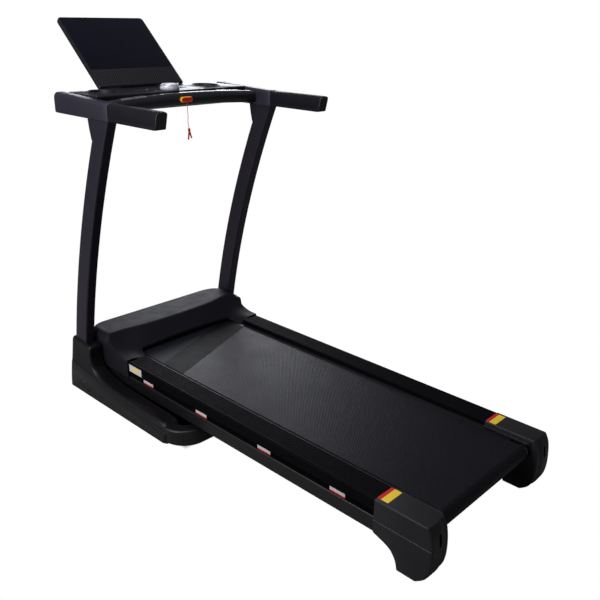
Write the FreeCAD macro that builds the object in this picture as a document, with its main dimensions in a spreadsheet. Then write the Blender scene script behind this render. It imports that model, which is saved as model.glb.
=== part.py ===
import FreeCAD, Part
import math
import operator
import os

from FreeCAD import Placement, Rotation, Vector
import Sketcher

# Folding motorised treadmill, millimetres. Every outline is written with y = 0 at the rear top edge of
# the end caps, +Y towards the console, +X to the runner's right, z = 0 on the floor. Each sub-part's
# Placement then slides it back by frame_shift, so that the origin is under the middle of the whole.

SHEET_VALUES = {
    "frame_shift": 933.4,
    # deck
    "rail_out": 330.0, "rail_in": 250.0, "rail_top": 187.0, "rail_rear": 176.4, "rail_front": 1345.8,
    "skirt_low": 149.0, "skirt_wall": 4.0,
    "chassis_out": 326.0, "chassis_wide": 30.0, "chassis_low": 76.0, "chassis_tall": 50.0,
    "chassis_rear": 12.0, "chassis_front": 1636.0, "tube_wall": 2.5,
    "board_half": 321.0, "board_low": 151.0, "board_thick": 18.0, "board_rear": 72.0,
    "board_front": 1398.0,
    "belt_half": 225.0, "belt_thick": 2.4,
    "roller_radius": 24.0, "roller_height": 145.0, "roller_half": 234.0, "axle_radius": 7.0,
    "rear_roller": 34.0, "front_roller": 1442.0, "pulley_radius": 38.0,
    "motor_along": 1545.0, "motor_height": 152.0, "motor_radius": 44.0,
    "cap_rear_depth": 19.0, "cap_wall": 3.0,
    # fold hinge
    "pivot_along": 1610.0, "pivot_height": 101.0, "pin_radius": 8.0, "pin_play": 0.06,
    # floor frame
    "base_out": 397.0, "base_in": 347.0, "base_low": 10.0, "base_top": 66.0, "base_rear": 944.0,
    "base_split": 1040.0, "base_front": 1640.0, "bend_radius": 90.0,
    "front_tube_rear": 1596.0, "front_tube_low": 14.0, "front_tube_top": 54.0,
    "boot_out": 404.0, "boot_in": 338.0, "boot_wall": 3.0,
    "wheel_radius": 22.0, "wheel_along": 1628.0,
    # uprights, arms and console
    "upright_out": 381.0, "upright_in": 343.0, "upright_deep": 74.5,
    "arm_out": 382.0, "arm_in": 337.0, "arm_low": 1078.0, "arm_top": 1136.0,
    "arm_front": 1604.0, "arm_seam": 1272.0, "grip_rear": 1009.0,
    "bar_along": 1371.0, "bar_deep": 44.0, "bar_low": 1084.0, "bar_tall": 46.0,
    "bar_arch": 11.0, "bar_bow": 12.0,
    "tray_top": 1144.0, "tray_rear": 1408.0, "tray_front": 1606.0, "tray_half": 334.0,
    "cup_across": 232.0, "cup_along": 1530.0,
    "knob_along": 1452.0, "knob_radius": 35.0,
    "screen_half": 190.0, "screen_slant": 351.0, "screen_thick": 22.0, "screen_lean": 48.0,
    "screen_foot_along": 1613.0, "screen_foot_height": 1151.0, "speaker_band": 86.0,
    # gas strut
    "strut_foot_along": 1569.0, "strut_foot_height": 36.0,
    "strut_head_along": 1000.0, "strut_head_height": 84.0,
    "strut_radius": 13.0, "strut_rod_radius": 5.0,
}

doc = FreeCAD.newDocument("treadmill")
sheet = doc.addObject("Spreadsheet::Sheet", "Sizes")
for row, (alias, value) in enumerate(SHEET_VALUES.items(), start=1):
    sheet.set(f"A{row}", alias)
    sheet.set(f"B{row}", str(value))
    sheet.setAlias(f"B{row}", alias)
doc.recompute()

SUBPARTS = []
OPERATORS = {"+": operator.add, "-": operator.sub, "*": operator.mul, "/": operator.truediv}


class Size:
    """A length kept with the sheet formula that gives it, so that objects can be bound to it."""

    def __init__(self, value, formula):
        self.value = value
        self.formula = formula

    def combine(self, other, sign, swapped=False):
        first, second = (size(other), self) if swapped else (self, size(other))
        value = OPERATORS[sign](first.value, second.value)
        return Size(value, f"({first.formula} {sign} {second.formula})")

    def __add__(self, other):
        return self.combine(other, "+")

    def __radd__(self, other):
        return self.combine(other, "+", True)

    def __sub__(self, other):
        return self.combine(other, "-")

    def __rsub__(self, other):
        return self.combine(other, "-", True)

    def __mul__(self, other):
        return self.combine(other, "*")

    def __rmul__(self, other):
        return self.combine(other, "*", True)

    def __truediv__(self, other):
        return self.combine(other, "/")

    def __neg__(self):
        return Size(0.0, "0").combine(self, "-")

    def __float__(self):
        return float(self.value)


def size(number):
    return number if isinstance(number, Size) else Size(float(number), repr(float(number)))


def cell(alias):
    return Size(float(sheet.get(alias)), f"Sizes.{alias}")


class Cells:
    """Every alias of the sheet as an attribute."""


D = Cells()
for alias in SHEET_VALUES:
    setattr(D, alias, cell(alias))


def bind(thing, path, number):
    thing.setExpression(path, size(number).formula)


def subpart(thing, label, turn=None):
    """Names a finished piece and slides it into the row's frame."""
    thing.Label = label
    thing.Placement = Placement(Vector(0, -float(D.frame_shift), 0), turn or Rotation())
    bind(thing, ".Placement.Base.y", -D.frame_shift)
    SUBPARTS.append(thing)
    return thing


def shape_part(label, shape):
    """A piece whose curved shape comes straight from Part's own functions."""
    thing = doc.addObject("Part::Feature", label)
    thing.Shape = shape
    return subpart(thing, label)


# ---------------------------------------------------------------- primitives bound to the sheet

def box(x, y, z):
    """A Part::Box between pairs of limits."""
    thing = doc.addObject("Part::Box", "box")
    for side, (low, high) in zip(("Length", "Width", "Height"), (x, y, z)):
        bind(thing, side, size(high) - low)
    for axis, (low, high) in zip("xyz", (x, y, z)):
        bind(thing, f".Placement.Base.{axis}", low)
    return thing


def rod(axis, centre, radius, span):
    """A Part::Cylinder along X, Y or Z; centre holds its other two coordinates."""
    thing = doc.addObject("Part::Cylinder", "rod")
    turns = {"x": Rotation(Vector(0, 1, 0), 90), "y": Rotation(Vector(1, 0, 0), -90), "z": Rotation()}
    thing.Placement = Placement(Vector(), turns[axis])
    others = [name for name in "xyz" if name != axis]
    bind(thing, "Radius", radius)
    bind(thing, "Height", size(span[1]) - span[0])
    bind(thing, f".Placement.Base.{axis}", span[0])
    for name, number in zip(others, centre):
        bind(thing, f".Placement.Base.{name}", number)
    return thing


def fuse(*things):
    joined = doc.addObject("Part::MultiFuse", "joined")
    joined.Shapes = list(things)
    return joined


def cut(base, *tools):
    result = doc.addObject("Part::Cut", "cut")
    result.Base = base
    result.Tool = tools[0] if len(tools) == 1 else fuse(*tools)
    return result


def group(*things):
    """Separate solids that share one node."""
    together = doc.addObject("Part::Compound", "group")
    together.Links = list(things)
    return together


def rounded(base, radius, chosen):
    """A Part::Fillet on the edges that chosen(edge) picks."""
    doc.recompute()
    fillet = doc.addObject("Part::Fillet", "rounded")
    fillet.Base = base
    edges = enumerate(base.Shape.Edges, start=1)
    fillet.Edges = [(index, radius, radius) for index, edge in edges if chosen(edge)]
    return fillet


def runs_along(axis):
    """Picks straight edges that run along one axis."""
    def chosen(edge):
        if not isinstance(edge.Curve, Part.Line):
            return False
        start, end = (vertex.Point for vertex in (edge.Vertexes[0], edge.Vertexes[-1]))
        step = end - start
        return abs(getattr(step, axis)) > 0.99 * step.Length
    return chosen


def square_tube(x, y, z, wall, along):
    """A rectangular tube, hollow right through along one axis."""
    limits = {"x": x, "y": y, "z": z}
    inner = {}
    for axis, (low, high) in limits.items():
        spare = size(-5) if axis == along else size(wall)
        inner[axis] = (size(low) + spare, size(high) - spare)
    outer = rounded(box(x, y, z), 4, runs_along(along))
    return cut(outer, box(inner["x"], inner["y"], inner["z"]))


# ---------------------------------------------------------------- sketches and pads

def origin_plane(body, role):
    return next(item for item in body.Origin.OriginFeatures if item.Role == role)


def sketch(body, role, outline, offset):
    """A closed outline of straight lines, every corner bound to the sheet."""
    drawing = body.newObject("Sketcher::SketchObject", "outline")
    drawing.AttachmentSupport = (origin_plane(body, role), "")
    drawing.MapMode = "FlatFace"
    bind(drawing, "AttachmentOffset.Base.z", offset)
    corners = [(size(u), size(v)) for u, v in outline]
    points = [Vector(float(u), float(v), 0) for u, v in corners]
    count = len(points)
    lines = [Part.LineSegment(points[i], points[(i + 1) % count]) for i in range(count)]
    drawing.addGeometry(lines, False)
    for i in range(count):
        drawing.addConstraint(Sketcher.Constraint("Coincident", i, 2, (i + 1) % count, 1))
    for i, corner in enumerate(corners):
        for kind, number in zip(("DistanceX", "DistanceY"), corner):
            index = drawing.addConstraint(Sketcher.Constraint(kind, -1, 1, i, 1, float(number)))
            name = f"{kind[-1]}{i}"
            drawing.renameConstraint(index, name)
            bind(drawing, f"Constraints.{name}", number)
    return drawing


def pad(label, role, outline, low, high):
    """A PartDesign::Body with one pad between low and high along the plane's own axis."""
    body = doc.addObject("PartDesign::Body", label)
    backwards = role == "XZ_Plane"
    offset = -size(high) if backwards else size(low)
    drawing = sketch(body, role, outline, offset)
    feature = body.newObject("PartDesign::Pad", "pad")
    feature.Profile = drawing
    bind(feature, "Length", size(high) - low)
    drawing.Visibility = False
    return body


def edge_fillet(body, radius, chosen):
    """A PartDesign::Fillet on the edges of the body's tip that chosen(edge) picks."""
    doc.recompute()
    feature = body.newObject("PartDesign::Fillet", "edges")
    base = body.Group[-2]
    names = [f"Edge{i}" for i, edge in enumerate(base.Shape.Edges, start=1) if chosen(edge)]
    feature.Base = (base, names)
    feature.Radius = radius
    return feature


# ---------------------------------------------------------------- outlines for curved pieces

def inset(points, wall):
    """The same outline moved in by wall, corner by corner; the outline runs clockwise."""
    moved = []
    count = len(points)
    for i, (u, v) in enumerate(points):
        before, after = points[i - 1], points[(i + 1) % count]
        first = unit(u - before[0], v - before[1])
        second = unit(after[0] - u, after[1] - v)
        normal = unit(first[1] + second[1], -first[0] - second[0])
        reach = wall / max(0.3, normal[0] * first[1] - normal[1] * first[0])
        moved.append((u + normal[0] * reach, v + normal[1] * reach))
    return moved


def unit(u, v):
    length = math.hypot(u, v) or 1.0
    return u / length, v / length


def slab(points, x_low, x_high, smooth=()):
    """An outline of (y, z) points made into a slab along X; smooth holds (first, last) point spans."""
    corners = [Vector(x_low, y, z) for y, z in points]
    edges = []
    i = 0
    count = len(corners)
    spans = dict(smooth)
    while i < count:
        last = spans.get(i)
        if last is None:
            edges.append(Part.makeLine(corners[i], corners[(i + 1) % count]))
            i += 1
        else:
            curve = Part.BSplineCurve()
            curve.interpolate(corners[i:last + 1])
            edges.append(curve.toShape())
            i = last
    face = Part.Face(Part.Wire(edges))
    return face.extrude(Vector(x_high - x_low, 0, 0))


def soften(shape, radius, chosen):
    """Rounds the chosen edges of a plain shape."""
    return shape.makeFillet(radius, [edge for edge in shape.Edges if chosen(edge)])


def mirrored(shape, side):
    """A shape made for the right side, moved to the left where side is -1."""
    return shape if side > 0 else shape.mirror(Vector(), Vector(1, 0, 0))


def across(side, inner, outer):
    """Limits along X for a piece between inner and outer on one side."""
    return (inner, outer) if side > 0 else (-size(outer), -size(inner))


SIDES = (("left", -1), ("right", 1))


# ---------------------------------------------------------------- floor frame

def base_rails():
    """A box tube with a plate that carries the fold pin."""
    for word, side in SIDES:
        tube = square_tube(across(side, D.base_in, D.base_out), (D.base_split, D.base_front),
                           (D.base_low, D.base_top), D.tube_wall, "y")
        plate = box(across(side, 338.5, 342.5), (D.pivot_along - 24, D.pivot_along + 24),
                    (D.base_low, D.pivot_height + 24))
        foot = box(across(side, 338.5, D.base_in), (D.pivot_along - 24, D.pivot_along + 24),
                   (D.base_low, D.base_top - 6))
        hole = rod("x", (D.pivot_along, D.pivot_height), D.pin_radius, across(side, 330, 346))
        notch = box(across(side, D.base_in, 369), (D.wheel_along - 26, D.base_front + 5), (5, 55))
        subpart(cut(fuse(tube, plate, foot), hole, notch), f"base_rail_{word}")


def fold_pins():
    pins = [rod("x", (D.pivot_along, D.pivot_height), D.pin_radius, across(side, 293, 342.5))
            for _, side in SIDES]
    subpart(group(*pins), "fold_pins")


def bent_run(label, wall):
    """The floor tube's bent rear run, moved in by wall all round and longer by two walls at its ends."""
    outer, inner = D.base_out - wall, D.base_in + wall
    rear, end = D.base_rear + wall, D.base_split + 2 * wall
    inner_rear = D.base_rear + (D.base_out - D.base_in) - wall
    outline = [(-outer, end), (-inner, end), (-inner, inner_rear), (inner, inner_rear), (inner, end),
               (outer, end), (outer, rear), (-outer, rear)]
    body = pad(label, "XY_Plane", outline, D.base_low + wall, D.base_top - wall)
    upright_edge = runs_along("z")
    outer_bend = float(D.bend_radius) - float(wall)
    inner_bend = float(D.bend_radius) - float(D.base_out - D.base_in) + float(wall)
    edge_fillet(body, outer_bend,
                lambda edge: upright_edge(edge) and abs(edge.Vertexes[0].Y - float(rear)) < 1)
    edge_fillet(body, inner_bend,
                lambda edge: upright_edge(edge) and abs(edge.Vertexes[0].Y - float(inner_rear)) < 1)
    return body


def base_rear_tube():
    """The floor tube's rear run: one hollow tube with two bends, open towards the front."""
    body = bent_run("base_rear_outside", size(0))
    top = float(D.base_top)
    open_end = float(D.base_split)
    edge_fillet(body, 7, lambda edge: (abs(edge.BoundBox.ZMin - top) < 0.1
                                       and edge.BoundBox.YMin < open_end - 1))
    hollow = bent_run("base_rear_hollow", D.tube_wall)
    subpart(cut(body, hollow), "base_rear_tube")


def base_front_tube():
    """The front cross tube with the two ears that hold the strut's foot."""
    tube = square_tube((-338.5, 338.5), (D.front_tube_rear, D.base_front - 4),
                       (D.front_tube_low, D.front_tube_top), D.tube_wall, "x")
    ears = [box(across(side, 14, 18), (D.strut_foot_along - 12, D.front_tube_rear),
                (D.strut_foot_height - 14, D.strut_foot_height + 14)) for _, side in SIDES]
    pin = rod("x", (D.strut_foot_along, D.strut_foot_height), 6, (-18, 18))
    subpart(fuse(tube, pin, *ears), "base_front_tube")


BOOT_TOP = [(1668, 3), (1657, 73), (1636, 221), (1513, 209), (1509, 160), (1497, 128), (1468, 106),
            (1408, 92), (1319, 85), (1180, 81), (1062, 77), (1036, 66), (1026, 40), (1030, 3)]


def boot_shape():
    """A moulded cover over the floor rail and the upright's foot, made for the right side."""
    outline = list(reversed(BOOT_TOP))
    inner = inset(outline, float(D.boot_wall))
    inner[0] = (inner[0][0], -5)
    inner[-1] = (inner[-1][0], -5)
    low, high = float(D.boot_in), float(D.boot_out)
    wall = float(D.boot_wall)
    smooth = ((2, 9),)
    outer = slab(outline, low, high, smooth)
    outer = soften(outer, 9, lambda edge: (edge.BoundBox.XMin > high - 0.1
                                           and edge.BoundBox.ZMax > 70))
    hollow = slab(inner, low + wall, high - wall, smooth)
    shell = outer.cut(hollow)
    tube_gate = Part.makeBox(53, 60, 71.5, Vector(float(D.base_in) - 1.5, 1010, -5))
    pin_gate = Part.makeBox(wall + 3, 60, 150, Vector(low - 1, float(D.pivot_along) - 30, -5))
    seat = slab(upright_outline(190, 240, 0.4), float(D.upright_in) - 0.4, float(D.upright_out) + 0.4)
    screw = Part.makeCylinder(4, 12, Vector(high - 8, 1560, 48), Vector(1, 0, 0))
    return shell.cut(pin_gate).cut(seat).cut(screw).cut(tube_gate)


def boots():
    shape = boot_shape()
    for word, side in SIDES:
        shape_part(f"boot_{word}", mirrored(shape, side))


def base_feet():
    """Rubber pads under the floor frame."""
    spots = [(side, along) for _, side in SIDES for along in (1080, 1540)]
    pads = [rod("z", (side * 372, along), 17, (0, D.base_low)) for side, along in spots]
    rear = [rod("z", (side * 180, D.base_rear + 25), 17, (0, D.base_low)) for _, side in SIDES]
    subpart(group(*pads, *rear), "base_feet")


def transport_wheels():
    """Small wheels in the boots' front that touch the floor when the machine is tipped."""
    height = D.wheel_radius + 5
    along = D.wheel_along
    for word, side in SIDES:
        wheel = rod("x", (along, height), D.wheel_radius, across(side, 349, 367))
        bore = rod("x", (along, height), 5.06, across(side, 345, 371))
        soft = rounded(wheel, 2, lambda edge: isinstance(edge.Curve, Part.Circle))
        subpart(cut(soft, bore), f"transport_wheel_{word}")
    axles = [rod("x", (along, height), 5, across(side, D.base_in, 394.5)) for _, side in SIDES]
    subpart(group(*axles), "wheel_axles")


# ---------------------------------------------------------------- uprights and handles

def upright_front(z):
    """The uprights lean back in one gentle curve; this is their front edge at a height."""
    return 1655 - 0.110 * z - 0.160 * z * z / 1000


def upright_outline(low, high, grow=0.0):
    """A stretch of the upright between two heights, clockwise from its rear foot."""
    steps = 6
    heights = [low + (high - low) * i / steps for i in range(steps + 1)]
    deep = float(D.upright_deep)
    rear = [(upright_front(z) - deep - grow, z) for z in heights]
    front = [(upright_front(z) + grow, z) for z in reversed(heights)]
    return rear + front


def uprights():
    """Hollow curved posts that widen forward into the arm at the top."""
    low, high = float(D.base_top), float(D.arm_low)
    wall = float(D.tube_wall)
    smooth = ((0, 6), (7, 13))
    outer = slab(upright_outline(low, high), float(D.upright_in), float(D.upright_out), smooth)
    outer = soften(outer, 5, lambda edge: edge.BoundBox.ZLength > 500)
    flare = [(upright_front(1000) - 30, 1000), (upright_front(1078) - 30, high),
             (upright_front(1078) + 44, high), (upright_front(1042) + 22, 1042),
             (upright_front(1010), 1010)]
    outer = outer.fuse(slab(flare, float(D.upright_in), float(D.upright_out))).removeSplitter()
    inner = slab(upright_outline(low - 5, high + 5, -wall), float(D.upright_in) + wall,
                 float(D.upright_out) - wall, smooth)
    tube = outer.cut(inner)
    for word, side in SIDES:
        shape_part(f"upright_{word}", mirrored(tube, side))


def arm_shape():
    """The moulded arm cover that caps an upright and carries the console."""
    low, high = float(D.arm_low), float(D.arm_top)
    front, seam = float(D.arm_front), float(D.arm_seam)
    outline = [(seam, low), (seam, high), (front, high), (front - 6, low)]
    block = slab(outline, float(D.arm_in), float(D.arm_out))
    block = soften(block, 13, lambda edge: edge.BoundBox.ZMin > high - 0.1 and edge.BoundBox.YLength > 99)
    return soften(block, 8, lambda edge: (edge.BoundBox.YMin > front - 30
                                          and edge.BoundBox.ZMin < high - 20
                                          and edge.BoundBox.ZLength > 20))


def grip_shape():
    """The rubber grip behind the arm cover, slightly slimmer than the cover."""
    low, high = float(D.arm_low) + 1, float(D.arm_top) - 1
    rear, seam = float(D.grip_rear) + 5, float(D.arm_seam)
    outline = [(rear + 12, low), (rear, high), (seam, high), (seam, low)]
    block = slab(outline, float(D.arm_in) + 1, float(D.arm_out) - 1)
    return soften(block, 14, lambda edge: edge.BoundBox.ZMin > high - 0.1 and edge.BoundBox.YLength > 99)


def grip_cap_shape():
    """The flat cap that closes the grip's rear end."""
    low, high = float(D.arm_low) + 2, float(D.arm_top) - 2
    rear = float(D.grip_rear)
    outline = [(rear + 13, low), (rear, high), (rear + 4.7, high), (rear + 16.3, low)]
    block = slab(outline, float(D.arm_in) + 3, float(D.arm_out) - 3)
    return soften(block, 11, lambda edge: edge.BoundBox.ZMin > high - 0.1 and edge.BoundBox.YLength > 3)


def arms():
    for word, side in SIDES:
        shape_part(f"arm_{word}", mirrored(arm_shape(), side))
        shape_part(f"grip_{word}", mirrored(grip_shape(), side))
    caps = [mirrored(grip_cap_shape(), side) for _, side in SIDES]
    shape_part("grip_caps", Part.makeCompound(caps))


def bar_centre(x):
    """Middle of the handle bar at a place across: it arches up and forward at its centre."""
    share = 1 - (x / float(D.arm_in)) ** 2
    along = float(D.bar_along) + float(D.bar_bow) * share
    height = float(D.bar_low) + float(D.bar_tall) / 2 + float(D.bar_arch) * share
    return along, height


def bar_section(x, across_scale=1.0):
    """The bar's rounded section at a place across, as one closed wire."""
    along, height = bar_centre(x)
    half_deep = float(D.bar_deep) / 2 * across_scale
    half_tall = float(D.bar_tall) / 2 * across_scale
    corner = 12
    spots = [(half_deep - corner, half_tall), (half_deep, half_tall - corner),
             (half_deep, -half_tall + corner), (half_deep - corner, -half_tall),
             (-half_deep + corner, -half_tall), (-half_deep, -half_tall + corner),
             (-half_deep, half_tall - corner), (-half_deep + corner, half_tall)]
    points = [Vector(x, along + y, height + z) for y, z in spots]
    bulge = corner * (1 - math.sqrt(0.5))
    middles = [(half_deep - bulge, half_tall - bulge), (half_deep - bulge, -half_tall + bulge),
               (-half_deep + bulge, -half_tall + bulge), (-half_deep + bulge, half_tall - bulge)]
    edges = []
    for i, (y, z) in enumerate(middles):
        start, end = points[2 * i], points[2 * i + 1]
        edges.append(Part.Arc(start, Vector(x, along + y, height + z), end).toShape())
        edges.append(Part.makeLine(end, points[(2 * i + 2) % 8]))
    return Part.Wire(edges)


def handle_bar():
    """The bar between the arms, with a socket in its rear face for the safety key."""
    half = float(D.arm_in)
    steps = 8
    wires = [bar_section(-half + 2 * half * i / steps) for i in range(steps + 1)]
    bar = Part.makeLoft(wires, True, False)
    along, height = bar_centre(0)
    socket = Part.makeCylinder(7.5, 22, Vector(0, along - float(D.bar_deep) / 2 - 1, height),
                               Vector(0, 1, 0))
    shape_part("handle_bar", bar.cut(socket))


def pulse_plates():
    """Two steel contact plates laid on top of the bar."""
    plates = []
    for _, side in SIDES:
        wires = []
        for step in range(4):
            x = side * (166 + 33 * step)
            along, height = bar_centre(x)
            top = height + float(D.bar_tall) / 2
            low, high = along - 9, along + 9
            corners = [Vector(x, low, top + 0.3), Vector(x, low, top + 2.3),
                       Vector(x, high, top + 2.3), Vector(x, high, top + 0.3)]
            wires.append(Part.makePolygon(corners + corners[:1]))
        plates.append(Part.makeLoft(wires, True, False))
    shape_part("pulse_plates", Part.makeCompound(plates))


# ---------------------------------------------------------------- console

def oval(x, y, z_low, z_high, half_x, half_y):
    """A right-standing oval column."""
    ring = Part.Ellipse(Vector(x, y, z_low), max(half_x, half_y), min(half_x, half_y))
    if half_y > half_x:
        ring.rotate(Placement(Vector(x, y, z_low), Rotation(Vector(0, 0, 1), 90), Vector()))
    face = Part.Face(Part.Wire([ring.toShape()]))
    return face.extrude(Vector(0, 0, z_high - z_low))


def console_tray():
    """The top tray with its two cup wells and the knob's post."""
    top = float(D.tray_top)
    rear, front, half = float(D.tray_rear), float(D.tray_front), float(D.tray_half)
    plate = Part.makeBox(2 * half, front - rear, 8, Vector(-half, rear, top - 8))
    plate = soften(plate, 30, lambda edge: edge.BoundBox.ZLength > 7 and edge.BoundBox.YMin > front - 1)
    plate = soften(plate, 3, lambda edge: edge.BoundBox.ZMin > top - 0.1)
    for _, side in SIDES:
        x, y = side * float(D.cup_across), float(D.cup_along)
        cup = oval(x, y, top - 54, top + 3, 48, 62)
        hollow = oval(x, y, top - 51, top + 4, 45, 59)
        plate = plate.fuse(cup).cut(hollow)
    along = float(D.knob_along)
    post = Part.makeCylinder(9, 14, Vector(0, along, top - 4))
    shape_part("console_tray", plate.fuse(post).removeSplitter())


def console_shell():
    """The lower cover under the tray, open at the top, with room for the cup wells."""
    top = float(D.tray_top) - 8.3
    rear, front, half = float(D.tray_rear) + 2, float(D.tray_front) - 4, float(D.tray_half) - 3
    profile = [(rear, top), (front, top), (front - 20, top - 40), (front - 50, top - 56),
               (rear + 46, top - 56), (rear + 8, top - 30)]
    outer = slab(profile, -half, half)
    outer = soften(outer, 10, lambda edge: edge.BoundBox.XLength > 100 and edge.BoundBox.ZMax < top - 5)
    inner = slab(inset(profile, 3), -half + 3, half - 3)
    lid_gap = Part.makeBox(2 * half - 6, front - rear - 10, 10, Vector(-half + 3, rear + 5, top - 8))
    shell = outer.cut(inner).cut(lid_gap)
    for _, side in SIDES:
        relief = oval(side * float(D.cup_across), float(D.cup_along), top - 46.5, top + 1, 49, 63)
        shell = shell.cut(relief)
    shape_part("console_shell", shell)


def control_knob():
    """The bright dial that turns on the tray's post."""
    top = float(D.tray_top) + 0.6
    along = float(D.knob_along)
    radius = float(D.knob_radius)
    skirt = Part.makeCylinder(radius, 12, Vector(0, along, top))
    crown = Part.makeCone(radius - 1, radius - 7, 10, Vector(0, along, top + 12))
    body = skirt.fuse(crown)
    body = soften(body, 2.5, lambda edge: edge.BoundBox.ZMin > top + 21)
    body = body.cut(Part.makeCylinder(9.06, 11, Vector(0, along, top - 1)))
    grooves = [Part.makeCylinder(1.2, 11, Vector(radius * math.cos(a), along + radius * math.sin(a), top))
               for a in (math.radians(15 * i) for i in range(24))]
    shape_part("control_knob", body.cut(Part.makeCompound(grooves)))


def leaning(shape):
    """Leans a shape, drawn upright in X and Z with its back towards +Y, back onto the screen's slope."""
    foot = Vector(0, float(D.screen_foot_along), float(D.screen_foot_height))
    turn = Rotation(Vector(1, 0, 0), -float(D.screen_lean))
    return shape.transformed(Placement(foot, turn).toMatrix(), copy=True)


def screen():
    """A thin screen housing with its glass above a speaker band."""
    half, tall, thick = float(D.screen_half), float(D.screen_slant), float(D.screen_thick)
    band = float(D.speaker_band)
    shell = Part.makeBox(2 * half, thick - 2, tall, Vector(-half, 2, 0))
    shell = soften(shell, 14, lambda edge: edge.BoundBox.YLength > thick - 3 and edge.BoundBox.ZMin > 9)
    shell = soften(shell, 6, lambda edge: edge.BoundBox.YMin > thick - 1)
    shape_part("screen_shell", leaning(shell))
    glass = Part.makeBox(2 * half - 4, 2, tall - band - 3, Vector(-half + 2, 0, band + 1))
    glass = soften(glass, 12, lambda edge: edge.BoundBox.YLength > 1.5 and edge.BoundBox.ZMin > band + 9)
    shape_part("screen_glass", leaning(glass))
    panel = Part.makeBox(2 * half - 4, 2, band - 2, Vector(-half + 2, 0, 2))
    shape_part("speaker_panel", leaning(panel))


def screen_bracket():
    """The neck that carries the screen from the rear of the console."""
    lean = math.radians(float(D.screen_lean))
    foot_y, foot_z = float(D.screen_foot_along), float(D.screen_foot_height)
    back_y = foot_y + (float(D.screen_thick) + 0.2) * math.cos(lean)
    back_z = foot_z - (float(D.screen_thick) + 0.2) * math.sin(lean)
    reach = 150
    outline = [(float(D.tray_front) + 0.3, 1094), (float(D.tray_front) + 0.3, back_z - 8),
               (back_y, back_z), (back_y + reach * math.sin(lean), back_z + reach * math.cos(lean)),
               (back_y + reach * math.sin(lean) + 12, back_z + reach * math.cos(lean) - 14),
               (foot_y + 50, 1100)]
    block = slab(outline, -75, 75)
    block = soften(block, 6, lambda edge: edge.BoundBox.XLength > 100 and edge.BoundBox.ZMax < 1105)
    tongue = Part.makeBox(150, 26, 20, Vector(-75, float(D.tray_front) - 14, 1098))
    shape_part("screen_bracket", block.fuse(tongue.cut(console_keepout())).removeSplitter())


def console_keepout():
    """The console cover's front wall, which the bracket butts against."""
    return Part.makeBox(200, 40, 60, Vector(-100, float(D.tray_front) - 40.3, 1080))


# ---------------------------------------------------------------- safety key

KEY_FACE = 1360.2
KEY_HEIGHT = 1118.0
KEY_CORD = [(0, 1351, 1108), (-1, 1351.5, 1086), (2, 1352, 1062), (-1, 1352.5, 1036), (4, 1352, 1016)]


def safety_key():
    """The red pill-shaped key whose peg sits in the bar's socket."""
    pill = Part.makeBox(52, 11, 20, Vector(-26, KEY_FACE - 11.2, KEY_HEIGHT - 10))
    pill = soften(pill, 9.5, lambda edge: edge.BoundBox.YLength > 9)
    pill = soften(pill, 2.5, lambda edge: edge.BoundBox.YMax < KEY_FACE - 11)
    peg = Part.makeCylinder(7.42, 17, Vector(0, KEY_FACE - 0.5, KEY_HEIGHT), Vector(0, 1, 0))
    shape_part("safety_key", pill.fuse(peg).removeSplitter())


def tube_along(route, radius):
    """A tube of straight runs joined by the largest tangent arcs that the runs allow."""
    points = [Vector(*point) for point in route]
    edges = []
    radii = []
    start = points[0]
    for before, corner, after in zip(points, points[1:], points[2:]):
        into, out = corner - before, after - corner
        turn = into.getAngle(out)
        reach = 0.45 * min(into.Length, out.Length)
        radii.append(reach / math.tan(turn / 2))
        into.normalize()
        out.normalize()
        first, last = corner - into * reach, corner + out * reach
        sag = radii[-1] * (1 / math.cos(turn / 2) - 1)
        inward = (out - into).normalize()
        edges.append(Part.makeLine(start, first))
        edges.append(Part.Arc(first, corner + inward * sag, last).toShape())
        start = last
    edges.append(Part.makeLine(start, points[-1]))
    path = Part.Wire(edges)
    direction = points[1] - points[0]
    ring = Part.Wire([Part.makeCircle(radius, points[0], direction)])
    tube = path.makePipeShell([ring], True, False)
    expected = math.pi * radius ** 2 * path.Length
    print(f"cord: length {path.Length:.1f} mm, smallest bend radius {min(radii):.1f} mm, "
          f"volume over section times length {tube.Volume / expected:.4f}")
    return tube


def key_cord():
    shape_part("key_cord", tube_along(KEY_CORD, 1.1))


def key_clip():
    """The small clip on the cord's end that is pinned to clothes."""
    x, y, z = KEY_CORD[-1]
    head = Part.makeBox(9, 6, 8, Vector(x - 4.5, y - 3, z - 8))
    head = soften(head, 2, lambda edge: edge.BoundBox.ZLength > 7)
    jaws = [Part.makeBox(4, 5, 34, Vector(x - 2, y - 2.5, z - 41)) for _ in SIDES]
    spread = []
    for jaw, (_, side) in zip(jaws, SIDES):
        jaw.rotate(Vector(x, y, z - 6), Vector(0, 1, 0), -side * 9)
        spread.append(jaw)
    shape_part("key_clip", head.fuse(spread).removeSplitter())


# ---------------------------------------------------------------- deck frame

def chassis_rails():
    """The two long tubes under the running deck, bored for the fold pins."""
    inner = D.chassis_out - D.chassis_wide
    for word, side in SIDES:
        tube = square_tube(across(side, inner, D.chassis_out), (D.chassis_rear, D.chassis_front),
                           (D.chassis_low, D.chassis_low + D.chassis_tall), D.tube_wall, "y")
        sleeve = rod("x", (D.pivot_along, D.pivot_height), D.pin_radius + 5,
                     across(side, inner, D.chassis_out))
        bore = rod("x", (D.pivot_along, D.pivot_height), D.pin_radius + D.pin_play,
                   across(side, inner - 5, D.chassis_out + 5))
        subpart(cut(fuse(tube, sleeve), bore), f"chassis_rail_{word}")


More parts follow.
